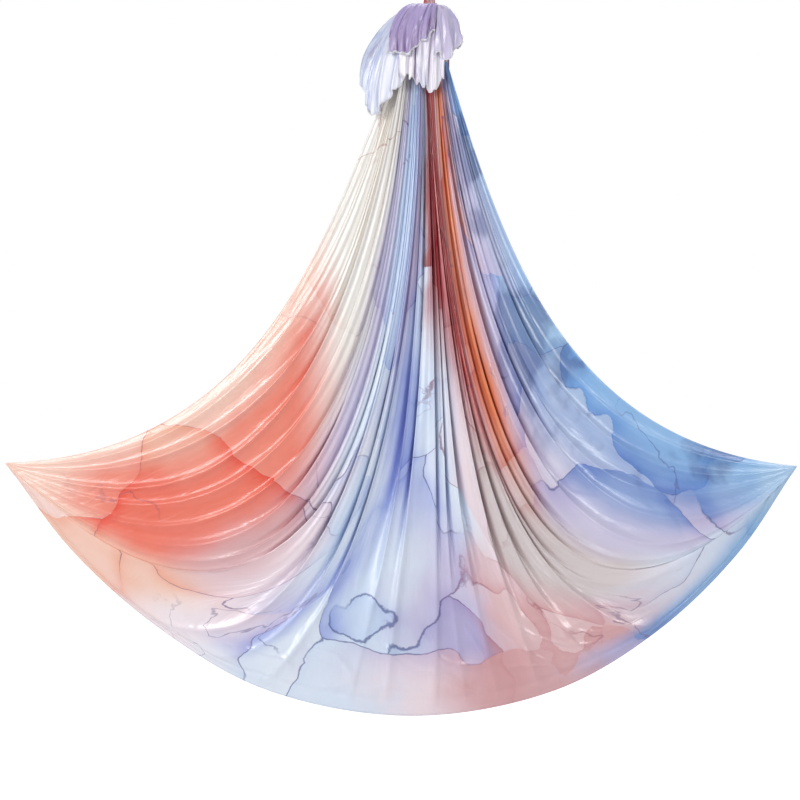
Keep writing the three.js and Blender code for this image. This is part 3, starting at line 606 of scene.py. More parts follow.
class Nodes:
    """Builds one material's nodes: each call makes a node, sets it and links what it is given."""

    def __init__(self, name):
        self.material = bpy.data.materials.new(name)
        self.material.use_nodes = True
        self.tree = self.material.node_tree
        self.shader = self.tree.nodes["Principled BSDF"]

    def put(self, socket, value):
        if isinstance(value, bpy.types.NodeSocket):
            self.tree.links.new(value, socket)
        else:
            socket.default_value = value

    def node(self, kind, inputs=(), **settings):
        made = self.tree.nodes.new("ShaderNode" + kind)
        for key, value in settings.items():
            setattr(made, key, value)
        for key, value in dict(inputs).items():
            self.put(made.inputs[key], value)
        return made

    def math(self, operation, *values):
        return self.node("Math", enumerate(values), operation=operation).outputs[0]

    def noise(self, vector, scale, detail=2, roughness=0.5, output="Fac"):
        inputs = {"Vector": vector, "Scale": scale, "Detail": detail, "Roughness": roughness}
        return self.node("TexNoise", inputs).outputs[output]

    def ramp(self, fac, stops, smooth=True):
        made = self.node("ValToRGB", {"Fac": fac})
        if smooth:
            made.color_ramp.interpolation = "EASE"
        marks = made.color_ramp.elements
        while len(marks) < len(stops):
            marks.new(0.5)
        for mark, (place, colour) in zip(marks, stops):
            mark.position = place
            mark.color = colour
        return made.outputs["Color"]

    def mix(self, fac, first, second, blend="MIX"):
        made = self.node("Mix", data_type="RGBA", blend_type=blend)
        self.put(made.inputs[0], fac)
        self.put(made.inputs[6], first)
        self.put(made.inputs[7], second)
        return made.outputs[2]

    def spread(self, value, low, high):
        made = self.node("MapRange", {"Value": value, "From Min": low, "From Max": high})
        made.interpolation_type = "SMOOTHSTEP"
        return made.outputs["Result"]


inks = {
    "ivory": (0.96, 0.94, 0.91),
    "peach": (0.97, 0.77, 0.69),
    "coral": (0.95, 0.45, 0.36),
    "crimson": (0.75, 0.25, 0.25),
    "orange": (0.93, 0.56, 0.39),
    "rose": (0.87, 0.68, 0.69),
    "greige": (0.82, 0.76, 0.76),
    "blush": (0.95, 0.88, 0.91),
    "lilac": (0.78, 0.75, 0.88),
    "periwinkle": (0.6, 0.66, 0.9),
    "ice": (0.86, 0.91, 0.98),
    "sky": (0.6, 0.77, 0.94),
    "haze": (0.76, 0.83, 0.95),
    "steel": (0.5, 0.61, 0.84),
    "garnet": (0.66, 0.28, 0.31),
    "plum": (0.4, 0.3, 0.5),
    "navy": (0.2, 0.28, 0.55),
}
# Where each ink lies across the cloth: near the throat, halfway, low down, and along the lower fold.
high_inks = [
    (0, "ivory"), (0.15, "ivory"), (0.22, "lilac"), (0.28, "ice"),
    (0.35, "haze"), (0.44, "lilac"), (0.5, "ice"), (0.53, "garnet"),
    (0.62, "crimson"), (0.7, "rose"), (0.79, "orange"), (0.87, "lilac"),
    (1, "sky"),
]
middle_inks = [
    (0, "peach"), (0.07, "coral"), (0.15, "coral"), (0.24, "rose"),
    (0.32, "blush"), (0.41, "ice"), (0.47, "periwinkle"), (0.52, "ice"),
    (0.57, "blush"), (0.62, "greige"), (0.74, "greige"), (0.82, "lilac"),
    (0.91, "steel"), (1, "sky"),
]
low_inks = [
    (0, "peach"), (0.1, "coral"), (0.2, "coral"), (0.28, "peach"),
    (0.34, "blush"), (0.42, "periwinkle"), (0.46, "ice"), (0.51, "lilac"),
    (0.55, "rose"), (0.65, "rose"), (0.74, "ice"), (0.83, "lilac"),
    (0.9, "steel"), (1, "sky"),
]
rim_inks = [
    (0.3, "peach"), (0.36, "blush"), (0.42, "ice"), (0.47, "ice"),
    (0.5, "blush"), (0.54, "rose"), (0.58, "rose"), (0.63, "lilac"),
    (0.67, "steel"), (0.72, "sky"),
]
line_inks = [(0, "garnet"), (0.3, "plum"), (0.48, "navy"), (0.56, "garnet"), (0.7, "plum"), (0.85, "navy")]

POOLS_PER_METRE = 2.0


def ink_dye(b, place):
    """The dyed cloth's colour: soft washes of ink in pools that dry with thin, dark, ragged rims."""
    zone = b.node("UVMap", uv_map="zone").outputs[0]

    def moved(vector, scale, detail, reach):
        shift = b.noise(place, scale, detail, 0.55, "Color")
        centred = b.node("VectorMath", {0: shift, 1: (0.5, 0.5, 0.5)}, operation="SUBTRACT").outputs[0]
        scaled = b.node("VectorMath", {0: centred, "Scale": reach}, operation="SCALE").outputs[0]
        return b.node("VectorMath", {0: vector, 1: scaled}, operation="ADD").outputs[0]

    def inked(across, stops):
        return b.ramp(across, [(at, linear(*inks[name])) for at, name in stops])

    pools = moved(moved(place, 1.2, 3, 0.9), 8, 5, 0.05)
    pool = {"Vector": pools, "Scale": POOLS_PER_METRE}
    cell = b.node("TexVoronoi", pool).outputs["Color"]
    edge = b.node("TexVoronoi", pool, feature="DISTANCE_TO_EDGE").outputs["Distance"]
    tone = b.node("SeparateColor", {0: cell})
    drift = b.node("SeparateXYZ", {0: moved(zone, 1.6, 4, 0.14)})
    across = b.math("ADD", drift.outputs["X"], b.math("MULTIPLY_ADD", tone.outputs[1], 0.05, -0.025))
    down = drift.outputs["Y"]
    wash = b.mix(b.spread(down, 0.28, 0.48), inked(across, high_inks), inked(across, middle_inks))
    wash = b.mix(b.spread(down, 0.6, 0.76), wash, inked(across, low_inks))
    wash = b.mix(b.spread(down, 0.86, 0.97), wash, inked(across, rim_inks))

    near_edge = b.math("POWER", 2.718, b.math("MULTIPLY", edge, -13.0))
    rimmed = b.math("MULTIPLY", near_edge, b.spread(tone.outputs[2], 0.3, 0.7))
    cloudy = b.noise(pools, 2.6, 4)
    depth = b.math("MULTIPLY_ADD", tone.outputs[0], 0.45, 0.25)
    depth = b.math("ADD", depth, b.math("MULTIPLY", cloudy, 0.75))
    depth = b.math("ADD", depth, b.math("MULTIPLY", rimmed, 0.55))
    washed = b.node("Gamma", {"Color": wash, "Gamma": depth}).outputs[0]

    line = b.math("SUBTRACT", 1.0, b.spread(edge, 0.001, 0.0075))
    line = b.math("MULTIPLY", line, b.spread(b.noise(place, 2.4, 4), 0.44, 0.6))
    threads = b.math("ABSOLUTE", b.math("SUBTRACT", b.noise(pools, 1.9, 5, 0.5), 0.5))
    threads = b.math("SUBTRACT", 1.0, b.spread(threads, 0.0012, 0.006))
    threads = b.math("MULTIPLY", threads, b.spread(b.noise(place, 1.7, 2), 0.5, 0.64))
    blot = b.spread(b.noise(moved(place, 5, 4, 0.2), 3.2, 3), 0.525, 0.62)
    blot = b.math("MULTIPLY", blot, b.spread(across, 0.7, 0.95))
    marks = b.math("MAXIMUM", b.math("MULTIPLY", line, 0.75), b.math("MULTIPLY", threads, 0.5))
    marks = b.math("MAXIMUM", marks, b.math("MULTIPLY", blot, 0.6))
    return b.mix(marks, washed, inked(across, line_inks))


KNIT_PER_METRE = 900
KNIT_DEPTH = 0.0002
CREASE_DEPTH = 0.004


def satin_tricot(name, dye):
    """Satin tricot: a smooth, bright face with a fine knit that only shows close to."""
    b = Nodes(name)
    place = b.node("UVMap", uv_map="flat").outputs[0]
    b.put(b.shader.inputs["Base Color"], dye(b, place))
    b.shader.inputs["Roughness"].default_value = 0.25
    b.shader.inputs["Specular IOR Level"].default_value = 0.9
    b.shader.inputs["Sheen Weight"].default_value = 0.12
    b.shader.inputs["Sheen Roughness"].default_value = 0.35
    drawn = b.node("Mapping", {"Vector": place, "Scale": (9, 1.3, 1)}).outputs[0]
    creases = b.noise(drawn, 5, 3, 0.5)
    knit = b.node("TexWave", {"Vector": place, "Scale": KNIT_PER_METRE, "Distortion": 0.5}).outputs["Fac"]
    soft = b.node("Bump", {"Height": creases, "Strength": 0.55, "Distance": CREASE_DEPTH}).outputs[0]
    face = {"Height": knit, "Strength": 0.12, "Distance": KNIT_DEPTH, "Normal": soft}
    b.put(b.shader.inputs["Normal"], b.node("Bump", face).outputs[0])
    return b.material


PANEL_ROWS = 163
ROLL_STEPS = 12
FRONT_SEED = 11
cloth = satin_tricot("dyed_satin_tricot", ink_dye)
points, flat, zone = panel(-1, crest_shares, MIDDLE_FOLD, FRONT_SEED, PANEL_ROWS)
points, flat, zone = roll_rows(points, flat, zone, ROLL_STEPS)
front_layer = grid_object("front_layer", points, flat, zone=zone)
front_layer.data.materials.append(cloth)
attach(front_layer, "hammock")
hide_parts("front_panel")

# Back layer of the sheet.
# The other half of the same cloth, in folds of its own. It meets the front layer under the roll.
BACK_SEED = 47
BACK_BEGIN_SHARE = 0.7  # its folds begin higher up
back_crests = crest_shares[::-1] * (-1, 1, BACK_BEGIN_SHARE) + (1, 0, 0)
points, flat, zone = panel(1, back_crests, len(back_crests) - 2 - MIDDLE_FOLD, BACK_SEED, PANEL_ROWS)
flat[..., 1] = 2 * (NECK_LENGTH + LAYER_LENGTH) - flat[..., 1]
back_layer = grid_object("back_layer", points, flat, flip=True, zone=zone)
back_layer.data.materials.append(cloth)
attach(back_layer, "hammock")
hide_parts("back_panel")

# Gathered necks.
# Above the throat the whole width of each layer is drawn together, pleat against pleat, and goes up
# through the tie and over the basket bar to the other layer. Every third pleat rolls over its neighbours.
BAR_RADIUS = 0.0055
BASKET_Z = -0.0955
NECK_WIDTH_AT_BAR = 0.032
NECK_DEPTH_AT_BAR = 0.022
THROAT_X = -0.017
THROAT_WIDTH = 0.132
THROAT_DEPTH = 0.046
TOUCH = 0.0003
OVER_BAR = BAR_RADIUS + TOUCH + NECK_DEPTH_AT_BAR / 2
NECK_PLEATS = 48
CROWN_EVERY = 3
CROWN_START = 0.8  # the share of the pleat's reach where its crown begins
CROWN_WIDTH = 1.3  # how far the crown goes to each side, in pleats
UNDER_CROWN = 0.72  # how far out the pleats under the crowns come
PLEAT_SQUARE = 0.35  # the lower, the squarer each pleat is
NECK_ZONE = 0.64  # the share of the cloth's colours where the neck's begin, and how far they go
NECK_ZONE_SPAN = 0.08
CROWN_COLUMNS = 16
PLEAT_COLUMNS = 8
BAR_ROWS = 14
NECK_ROWS = 40
NECK_DRIFT = 0.012
NECK_DRIFT_COUNTS = (3, 0.8)  # across the bundle, and down it
NECK_FILL = 0.96
NECK_EDGE_SHARE = 0.02
NECK_SQUARE = 0.35  # the lower, the squarer the bundle's section is
BUNDLE_TURNS = 4.5
BUNDLE_DEPTH = 0.16
BUNDLE_DRIFT = 0.25
BUNDLE_DRIFT_COUNTS = (1, 0.8)
CROWN_UNEVEN_SHARE = 0.05
UNDER_UNEVEN_SHARE = 0.12


def neck_at(share):
    """The neck's middle (x, y, z), width and depth between the basket bar (0) and the throat (1)."""
    spread = share**2
    y = OVER_BAR + (NECK_GAP + THROAT_DEPTH / 2 - OVER_BAR) * share
    z = BASKET_Z + share * (THROAT_Z + TOUCH - BASKET_Z)
    width = NECK_WIDTH_AT_BAR + (THROAT_WIDTH - NECK_WIDTH_AT_BAR) * spread
    depth = NECK_DEPTH_AT_BAR + (THROAT_DEPTH - NECK_DEPTH_AT_BAR) * spread
    return THROAT_X * share, y, z, width, depth


def neck(side, seed):
    """The gathered bundle as one sheet, pleated to and fro between its outer and its inner face."""
    rng = np.random.default_rng(seed)
    turn = np.linspace(TOUCH / OVER_BAR, math.pi / 2, BAR_ROWS + 1)
    share = np.linspace(0, 1, NECK_ROWS + 1)[1:]
    x, y, z, width, depth = neck_at(share)
    over = np.stack([0 * turn, side * OVER_BAR * np.sin(turn), BASKET_Z + OVER_BAR * np.cos(turn)], 1)
    centre = np.vstack([over, np.stack([x, side * y, z], 1)])
    round_bar = np.stack([0 * turn, side * np.sin(turn), np.cos(turn)], 1)
    outward = np.vstack([round_bar, [[0, side, 0]] * NECK_ROWS])
    width = np.concatenate([np.full(BAR_ROWS + 1, NECK_WIDTH_AT_BAR), width])[:, None]
    depth = np.concatenate([np.full(BAR_ROWS + 1, NECK_DEPTH_AT_BAR), depth])[:, None]
    crown_share = math.acos(CROWN_START ** (1 / PLEAT_SQUARE)) / (2 * math.pi)
    plain = np.linspace(-0.5, 0.5, PLEAT_COLUMNS, endpoint=False)
    crown = np.linspace(-crown_share, crown_share, CROWN_COLUMNS)
    crowned = np.concatenate([plain[plain < -crown_share], crown, plain[plain > crown_share]])
    pleat = [n + (plain if n % CROWN_EVERY else crowned) for n in range(NECK_PLEATS + 1)]
    pleat = np.concatenate([[0], *pleat, [NECK_PLEATS]])
    pleat = np.unique(np.clip(pleat, 0, NECK_PLEATS))
    number = np.round(pleat).astype(int)
    across = 2 * pleat / NECK_PLEATS - 1
    down = np.linspace(0, 1, len(centre))[:, None]
    across = across + NECK_DRIFT * wander(across, down, *NECK_DRIFT_COUNTS, seed)
    bound = np.clip(1 - across**2, NECK_EDGE_SHARE, 1) ** NECK_SQUARE
    drift = BUNDLE_DRIFT * wander(across, down, *BUNDLE_DRIFT_COUNTS, seed + 1)
    bundles = 0.5 + 0.5 * np.cos(2 * math.pi * (BUNDLE_TURNS * across + drift))
    bundles = 1 - BUNDLE_DEPTH * bundles**3
    wave = np.cos(2 * math.pi * pleat)
    reach = np.sign(wave) * np.abs(wave) ** PLEAT_SQUARE
    in_crown = np.clip((reach - CROWN_START) / (1 - CROWN_START), 0, 1) * (number % CROWN_EVERY == 0)
    across = across + 2 / NECK_PLEATS * CROWN_WIDTH * np.sin(math.pi * in_crown) * np.sign(pleat - number)
    uneven = rng.uniform(0, 1, NECK_PLEATS + 1)[number]
    under = UNDER_CROWN * (1 - UNDER_UNEVEN_SHARE * uneven)
    height = np.where(number % CROWN_EVERY == 0, 1 - CROWN_UNEVEN_SHARE * uneven, under)
    reach = bound * bundles * reach * np.where(wave > 0, height, 1)
    points = centre[:, None] + outward[:, None] * (reach * depth / 2)[..., None]
    points[..., 0] += across * width / 2 * NECK_FILL
    path = np.concatenate([[0], np.cumsum(np.linalg.norm(np.diff(centre, axis=0), axis=1))])
    flat_x = np.broadcast_to(CLOTH_WIDTH * pleat / NECK_PLEATS, across.shape)
    flat = np.stack([flat_x, np.broadcast_to((NECK_LENGTH * path / path[-1])[:, None], across.shape)], 2)
    zone_x = np.broadcast_to(NECK_ZONE + NECK_ZONE_SPAN * pleat / NECK_PLEATS, across.shape)
    zone = np.stack([zone_x, 0 * across], 2)
    return points, flat, zone, path[-1]


necks = (("front_gathers", -1, 5, "front_neck"), ("back_gathers", 1, 6, "back_neck"))
for name, side, seed, stands_for in necks:
    points, flat, zone, length = neck(side, seed)
    if side > 0:
        flat[..., 1] = 2 * (NECK_LENGTH + LAYER_LENGTH) - flat[..., 1]
    gathers = grid_object(name, points, flat, flip=side > 0, zone=zone)
    gathers.data.materials.append(cloth)
    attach(gathers, "hammock")
    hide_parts(stands_for)

# The tie.
# A strip of the same tricot, its edges turned in, wound three times round both necks and drawn tight.
TIE_DROP = 0.15
TIE_HEIGHT = 0.03
TIE_THICKNESS = 0.009
TIE_ROOM = 0.0018
TIE_WRINKLE = 0.0007
TIE_MARGIN = 0.004
TIE_START = 0.1  # the strip's end, in turns before +X
TIE_TUCK = 0.96
TIE_OVERLAP = 1.04  # of each turn over the next
TIE_DYE_PLACE = (0.9, 0.05)
TIE_TURNS = 3
TIE_STEPS_PER_TURN = 110
TIE_PROFILE_STEPS = 20
TIE_WALL_SHARES = (0.12, 0.72)  # at the strip's edges, and what its middle adds
LONG_WRINKLES = (26, 1.2)  # along the strip, and across it
SHORT_WRINKLES = (60, 2.5)
SHORT_WRINKLE_SHARE = 0.6
TWIST_TURNS = (1.2, 3)  # across the strip, and in each turn round the necks
TWIST_DRIFT = 0.2
TWIST_DRIFT_COUNTS = (9, 0.4)
TIE_SEED = 71


def tie_outline(angle, wall):
    """A place on the square-cornered oval round both necks inside the tie, moved outwards by a wall."""
    x, y, _, width, depth = neck_at((TIE_DROP + TIE_HEIGHT / 2 + BASKET_Z) / NECK_LENGTH)
    across = width / 2 + TIE_ROOM + wall
    deep = y + depth / 2 + TIE_ROOM + wall
    turn_x = np.sign(np.cos(angle)) * np.sqrt(np.abs(np.cos(angle)))
    turn_y = np.sign(np.sin(angle)) * np.sqrt(np.abs(np.sin(angle)))
    return x + across * turn_x, deep * turn_y


def tail_dye(b, place):
    """The ends' colours: lavender and mauve with white, and a little blue."""
    shift = b.noise(place, 7, 4, 0.6, "Color")
    centred = b.node("VectorMath", {0: shift, 1: (0.5, 0.5, 0.5)}, operation="SUBTRACT").outputs[0]
    scaled = b.node("VectorMath", {0: centred, "Scale": 0.09}, operation="SCALE").outputs[0]
    warped = b.node("VectorMath", {0: place, 1: scaled}, operation="ADD").outputs[0]
    split = b.node("SeparateXYZ", {0: warped})
    wash = b.ramp(
        b.math("DIVIDE", split.outputs["X"], 3.0),
        [
            (0.0, linear(0.66, 0.58, 0.76)),
            (0.16, linear(0.72, 0.62, 0.78)),
            (0.22, linear(0.86, 0.9, 0.97)),
            (0.38, linear(0.95, 0.93, 0.97)),
            (0.44, linear(0.95, 0.93, 0.97)),
            (0.62, linear(0.9, 0.87, 0.95)),
            (0.68, linear(0.8, 0.76, 0.83)),
            (0.82, linear(0.86, 0.83, 0.88)),
            (0.9, linear(0.82, 0.85, 0.95)),
            (1.0, linear(0.93, 0.86, 0.88)),
        ],
    )
    upper = b.math("MULTIPLY", b.spread(split.outputs["Y"], 0.42, 0.5), 0.5)
    wash = b.mix(upper, wash, linear(0.68, 0.63, 0.83))
    streaks = b.node("Mapping", {"Vector": warped, "Scale": (1, 0.3, 1)}).outputs[0]
    pool = b.spread(b.noise(streaks, 13, 4, 0.6), 0.53, 0.7)
    tinted = b.mix(b.math("MULTIPLY", pool, 0.6), wash, linear(0.5, 0.55, 0.82))
    deep = b.spread(b.noise(streaks, 24, 3, 0.5), 0.56, 0.68)
    return b.mix(b.math("MULTIPLY", deep, 0.45), tinted, linear(0.52, 0.4, 0.56))


loose_end = satin_tricot("lavender_satin_tricot", tail_dye)
wound = np.linspace(0, TIE_TURNS, TIE_TURNS * TIE_STEPS_PER_TURN + 1)[:, None]
profile = np.linspace(-1, 1, TIE_PROFILE_STEPS + 1)[None, :]
angle = 2 * math.pi * (wound - TIE_START)
pitch = (TIE_HEIGHT - TIE_MARGIN) / TIE_TURNS
wound_share = wound / TIE_TURNS
wrinkle = wander(wound_share, profile, *LONG_WRINKLES, TIE_SEED)
wrinkle = wrinkle + SHORT_WRINKLE_SHARE * wander(wound_share, profile, *SHORT_WRINKLES, TIE_SEED + 1)
twist = TWIST_TURNS[0] * profile + TWIST_TURNS[1] * wound
twist = twist + TWIST_DRIFT * wander(wound_share, profile, *TWIST_DRIFT_COUNTS, TIE_SEED + 2)
rope = np.cos(2 * math.pi * twist)
bulge = np.sqrt(np.clip(1 - profile**2, 0, 1))
wall = TIE_THICKNESS * (TIE_WALL_SHARES[0] + TIE_WALL_SHARES[1] * bulge)
wall = wall + TIE_WRINKLE * bulge * wrinkle + TIE_WRINKLE * bulge * rope
tie_x, tie_y = tie_outline(angle + 0 * profile, wall)
tucked = np.sin(profile * math.pi / 2 * TIE_TUCK)
rise = -TIE_DROP + pitch * (TIE_TURNS / 2 - wound) + 0.5 * pitch * TIE_OVERLAP * tucked
rise = np.clip(rise, -TIE_DROP - TIE_HEIGHT / 2, -TIE_DROP + TIE_HEIGHT / 2 - TOUCH)
points = np.stack([tie_x, tie_y, rise], 2)
middle_line = points[:, TIE_PROFILE_STEPS // 2]
around = np.concatenate([[0], np.cumsum(np.linalg.norm(np.diff(middle_line, axis=0), axis=1))])
girth = np.linalg.norm(np.diff(points, axis=1), axis=2).sum(1).mean()
flat_x = around[:, None] + TIE_DYE_PLACE[0]
flat = np.stack(np.broadcast_arrays(flat_x, girth * (profile + 1) / 2 + TIE_DYE_PLACE[1]), 2)
tie = grid_object("tie_strip", points, flat)
tie.data.materials.append(loose_end)
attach(tie, "hammock")
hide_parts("tie")

# The loose ends.
# Above the tie the ends of the cloth fall open as ruffles: a hood over the front, a fan at the left, a flap
# at the right, a frill under the hood and a fan at the back. Each hem is rolled and overlocked in white.
TAIL_DROP = 0.33
TAIL_REACH = 0.18
TAIL_TOP_DROP = 0.126
TAIL_RISE = 0.018
TAIL_OVERHANG = 0.014
SHOULDER_SHARE = 0.3
TAIL_ROWS = 70
COLUMNS_PER_FOLD = 26
HEM_STEPS = 9
HEM_RAGGED = 0.008
RAGS_PER_FOLD = 1.5
HEM_TURN = 1.85 * math.pi
HEM_TIGHTENING = 0.08
HEM_LINE_PASSES = 8  # how often the hem's line, its roll and its core are smoothed
HEM_ROLL_PASSES = 6
HEM_CORE_PASSES = 4
FOLD_DRIFT = 0.3
FOLD_SQUARE = 0.8  # the lower, the squarer the folds are
FOLD_UNEVEN_SHARE = 0.25
DEPTH_POWER = 0.8  # how the folds deepen on the way down
FINER_SHARE = 0.28  # the smaller folds between the large ones
FINER_TURNS = 2.7
FINER_DRIFT = 0.4
LEAN_SHARE = 0.8
LEAN_LOSS_SHARE = 0.3  # how much less they lean at the hem
RUMPLE = 0.0022
RUMPLES_PER_FOLD = 2.2
RUMPLES_DOWN = 2.5
DYE_SPACING = 0.6  # on the dyed cloth, from one loose end to the next
DYE_TOP = 0.6  # where their upper ends lie on it
FIRST_TAIL_SEED = 200
TAIL_SEED_STEP = 10
# arc: degrees round the tie, from +X towards the back. foot: how far out on the tie's wall it starts, as a
# share of the wall. hem: the radius of the rolled hem. hem_shares: the hem's line from one side to the
# other (x, y, drop), as shares of TAIL_REACH and TAIL_DROP.
tails = {
    "hood": {
        "node": "tail_hood",
        "arc": (215, 306),
        "folds": 5,
        "foot": 0.15,
        "depth": 0.006,
        "hem": 0.0056,
        "hem_shares": [
            [-0.62, -0.36, 0.3],
            [-0.62, -0.43, 0.4],
            [-0.46, -0.47, 0.43],
            [-0.28, -0.47, 0.4],
            [-0.1, -0.44, 0.31],
            [0.06, -0.38, 0.23],
        ],
    },
    "left_fan": {
        "node": "tail_left",
        "arc": (150, 226),
        "folds": 6,
        "foot": 0.62,
        "depth": 0.0145,
        "hem": 0.0026,
        "hem_shares": [
            [-0.96, 0.16, 0.5],
            [-1.02, 0.06, 0.6],
            [-0.98, -0.1, 0.74],
            [-0.92, -0.26, 0.93],
            [-0.76, -0.36, 0.88],
            [-0.44, -0.4, 0.62],
        ],
    },
    "frill": {
        "node": "tail_ruffle",
        "arc": (226, 316),
        "folds": 4,
        "foot": 0.62,
        "depth": 0.0105,
        "hem": 0.0018,
        "hem_shares": [
            [-0.46, -0.36, 0.6],
            [-0.3, -0.37, 0.64],
            [-0.12, -0.37, 0.7],
            [0.06, -0.36, 0.74],
            [0.25, -0.34, 0.62],
        ],
    },
    "right_flap": {
        "node": "tail_right",
        "arc": (304, 395),
        "folds": 4,
        "foot": 0.4,
        "depth": 0.007,
        "hem": 0.0022,
        "hem_shares": [
            [0.06, -0.38, 0.42],
            [0.3, -0.34, 0.46],
            [0.48, -0.16, 0.31],
            [0.5, 0.08, 0.31],
            [0.42, 0.26, 0.35],
        ],
    },
    "back_fan": {
        "node": "tail_back",
        "arc": (42, 140),
        "folds": 8,
        "foot": 0.4,
        "depth": 0.008,
        "hem": 0.0022,
        "hem_shares": [
            [0.3, 0.38, 0.5],
            [0.05, 0.44, 0.72],
            [-0.25, 0.44, 0.66],
            [-0.5, 0.42, 0.74],
            [-0.7, 0.34, 0.55],
        ],
    },
}


def smoothed(line, passes):
    """A line of points with its small bends drawn out."""
    line = line.copy()
    for _ in range(passes):
        line[1:-1] = (line[:-2] + 2 * line[1:-1] + line[2:]) / 4
    return line


def tail(plan, offset, seed):
    """One loose end as a grid of points: from the tie up, over and down to its rolled hem."""
    columns = plan["folds"] * COLUMNS_PER_FOLD + 1
    share = np.linspace(0, 1, columns)
    hem_shares = np.array(plan["hem_shares"], float)
    angle = np.radians(plan["arc"][0] + (plan["arc"][1] - plan["arc"][0]) * share)
    inside = 1 - plan["foot"]
    foot_x, foot_y = tie_outline(angle, plan["foot"] * TIE_THICKNESS)
    outward = np.stack([np.cos(angle), np.sin(angle), 0 * angle], 1)
    start = np.stack([foot_x, foot_y, np.full(columns, -TIE_DROP + TIE_HEIGHT / 2 + 4 * TOUCH)], 1)
    x, y, drop = smooth_rows(np.linspace(0, 1, len(hem_shares)), hem_shares, share).T
    hem = np.stack([x * TAIL_REACH, y * TAIL_REACH, -TAIL_TOP_DROP - drop * TAIL_DROP], 1)
    hem[:, 2] += HEM_RAGGED * wander(share, 0, RAGS_PER_FOLD * plan["folds"], 0, seed + 4)
    rise = start + outward * (TAIL_OVERHANG + inside * TIE_THICKNESS)
    rise[:, 2] += TAIL_RISE + 2 * inside * TIE_THICKNESS
    shoulder = hem.copy()
    shoulder[:, 2] = start[:, 2] + SHOULDER_SHARE * (hem[:, 2] - start[:, 2])
    u = np.linspace(0, 1, TAIL_ROWS)[:, None, None]
    line = (1 - u) ** 3 * start + 3 * u * (1 - u) ** 2 * rise + 3 * u**2 * (1 - u) * shoulder + u**3 * hem
    down = u[..., 0]
    fold = share * plan["folds"] + FOLD_DRIFT * wander(share, down, plan["folds"] / 2, 0.5, seed)
    wave = np.cos(2 * math.pi * fold)
    sharp = np.sign(wave) * np.abs(wave) ** FOLD_SQUARE
    finer_turn = FINER_TURNS * fold + FINER_DRIFT * wander(share, down, plan["folds"], 1, seed + 1)
    finer = np.cos(2 * math.pi * finer_turn)
    uneven = FOLD_UNEVEN_SHARE * wander(share, down, plan["folds"] / 2, 0.6, seed + 2)
    depth = plan["depth"] * down**DEPTH_POWER * (1 - FOLD_UNEVEN_SHARE + uneven)
    swing = depth * sharp + FINER_SHARE * depth * finer
    along = np.gradient(line, axis=1)
    along /= np.linalg.norm(along, axis=2)[..., None] + TINY
    lean = LEAN_SHARE * depth * np.sin(2 * math.pi * fold) * (1 - LEAN_LOSS_SHARE * down)
    rumples = RUMPLES_PER_FOLD * plan["folds"]
    rumple = RUMPLE * down * wander(share, down, rumples, RUMPLES_DOWN, seed + 3)
    points = line + outward * (swing + rumple)[..., None] + along * lean[..., None]
    along = np.gradient(smoothed(points[-1], HEM_LINE_PASSES), axis=0)
    along /= np.linalg.norm(along, axis=1)[:, None]
    run = points[-1] - points[-2]
    run -= (run * along).sum(1)[:, None] * along
    run /= np.linalg.norm(run, axis=1)[:, None]
    run = smoothed(run, HEM_ROLL_PASSES)
    run /= np.linalg.norm(run, axis=1)[:, None]
    inward = np.cross(run, along)
    inward *= -np.sign((inward * outward).sum())
    radius = plan["hem"]
    hem_core = smoothed(points[-1] + inward * radius, HEM_CORE_PASSES)
    rolled = []
    for step in range(1, HEM_STEPS + 1):
        turn = HEM_TURN * step / HEM_STEPS
        tight = radius * (1 - HEM_TIGHTENING * step / HEM_STEPS)
        out = run * tight * math.sin(turn)
        rolled.append(points[-1] + out + inward * (radius - tight * math.cos(turn)))
    points = np.concatenate([points, rolled])
    widths = np.linalg.norm(np.diff(points, axis=1), axis=2).sum(1)
    lengths = np.linalg.norm(np.diff(points, axis=0), axis=2).sum(0)
    travelled = np.linspace(0, 1, len(points))[:, None] * lengths.mean()
    flat = np.stack(np.broadcast_arrays(offset + widths.mean() * share, DYE_TOP - travelled), 2)
    return points, flat, (widths.mean(), lengths.mean()), hem_core


STITCH_LENGTH = 0.0024
THREAD_RADIUS = 0.0004
RING_SHARE = 0.97  # of the rolled hem's radius
RING_SIDES = 8
THREAD_SIDES = 4
THREAD_TWIST = 0.0003


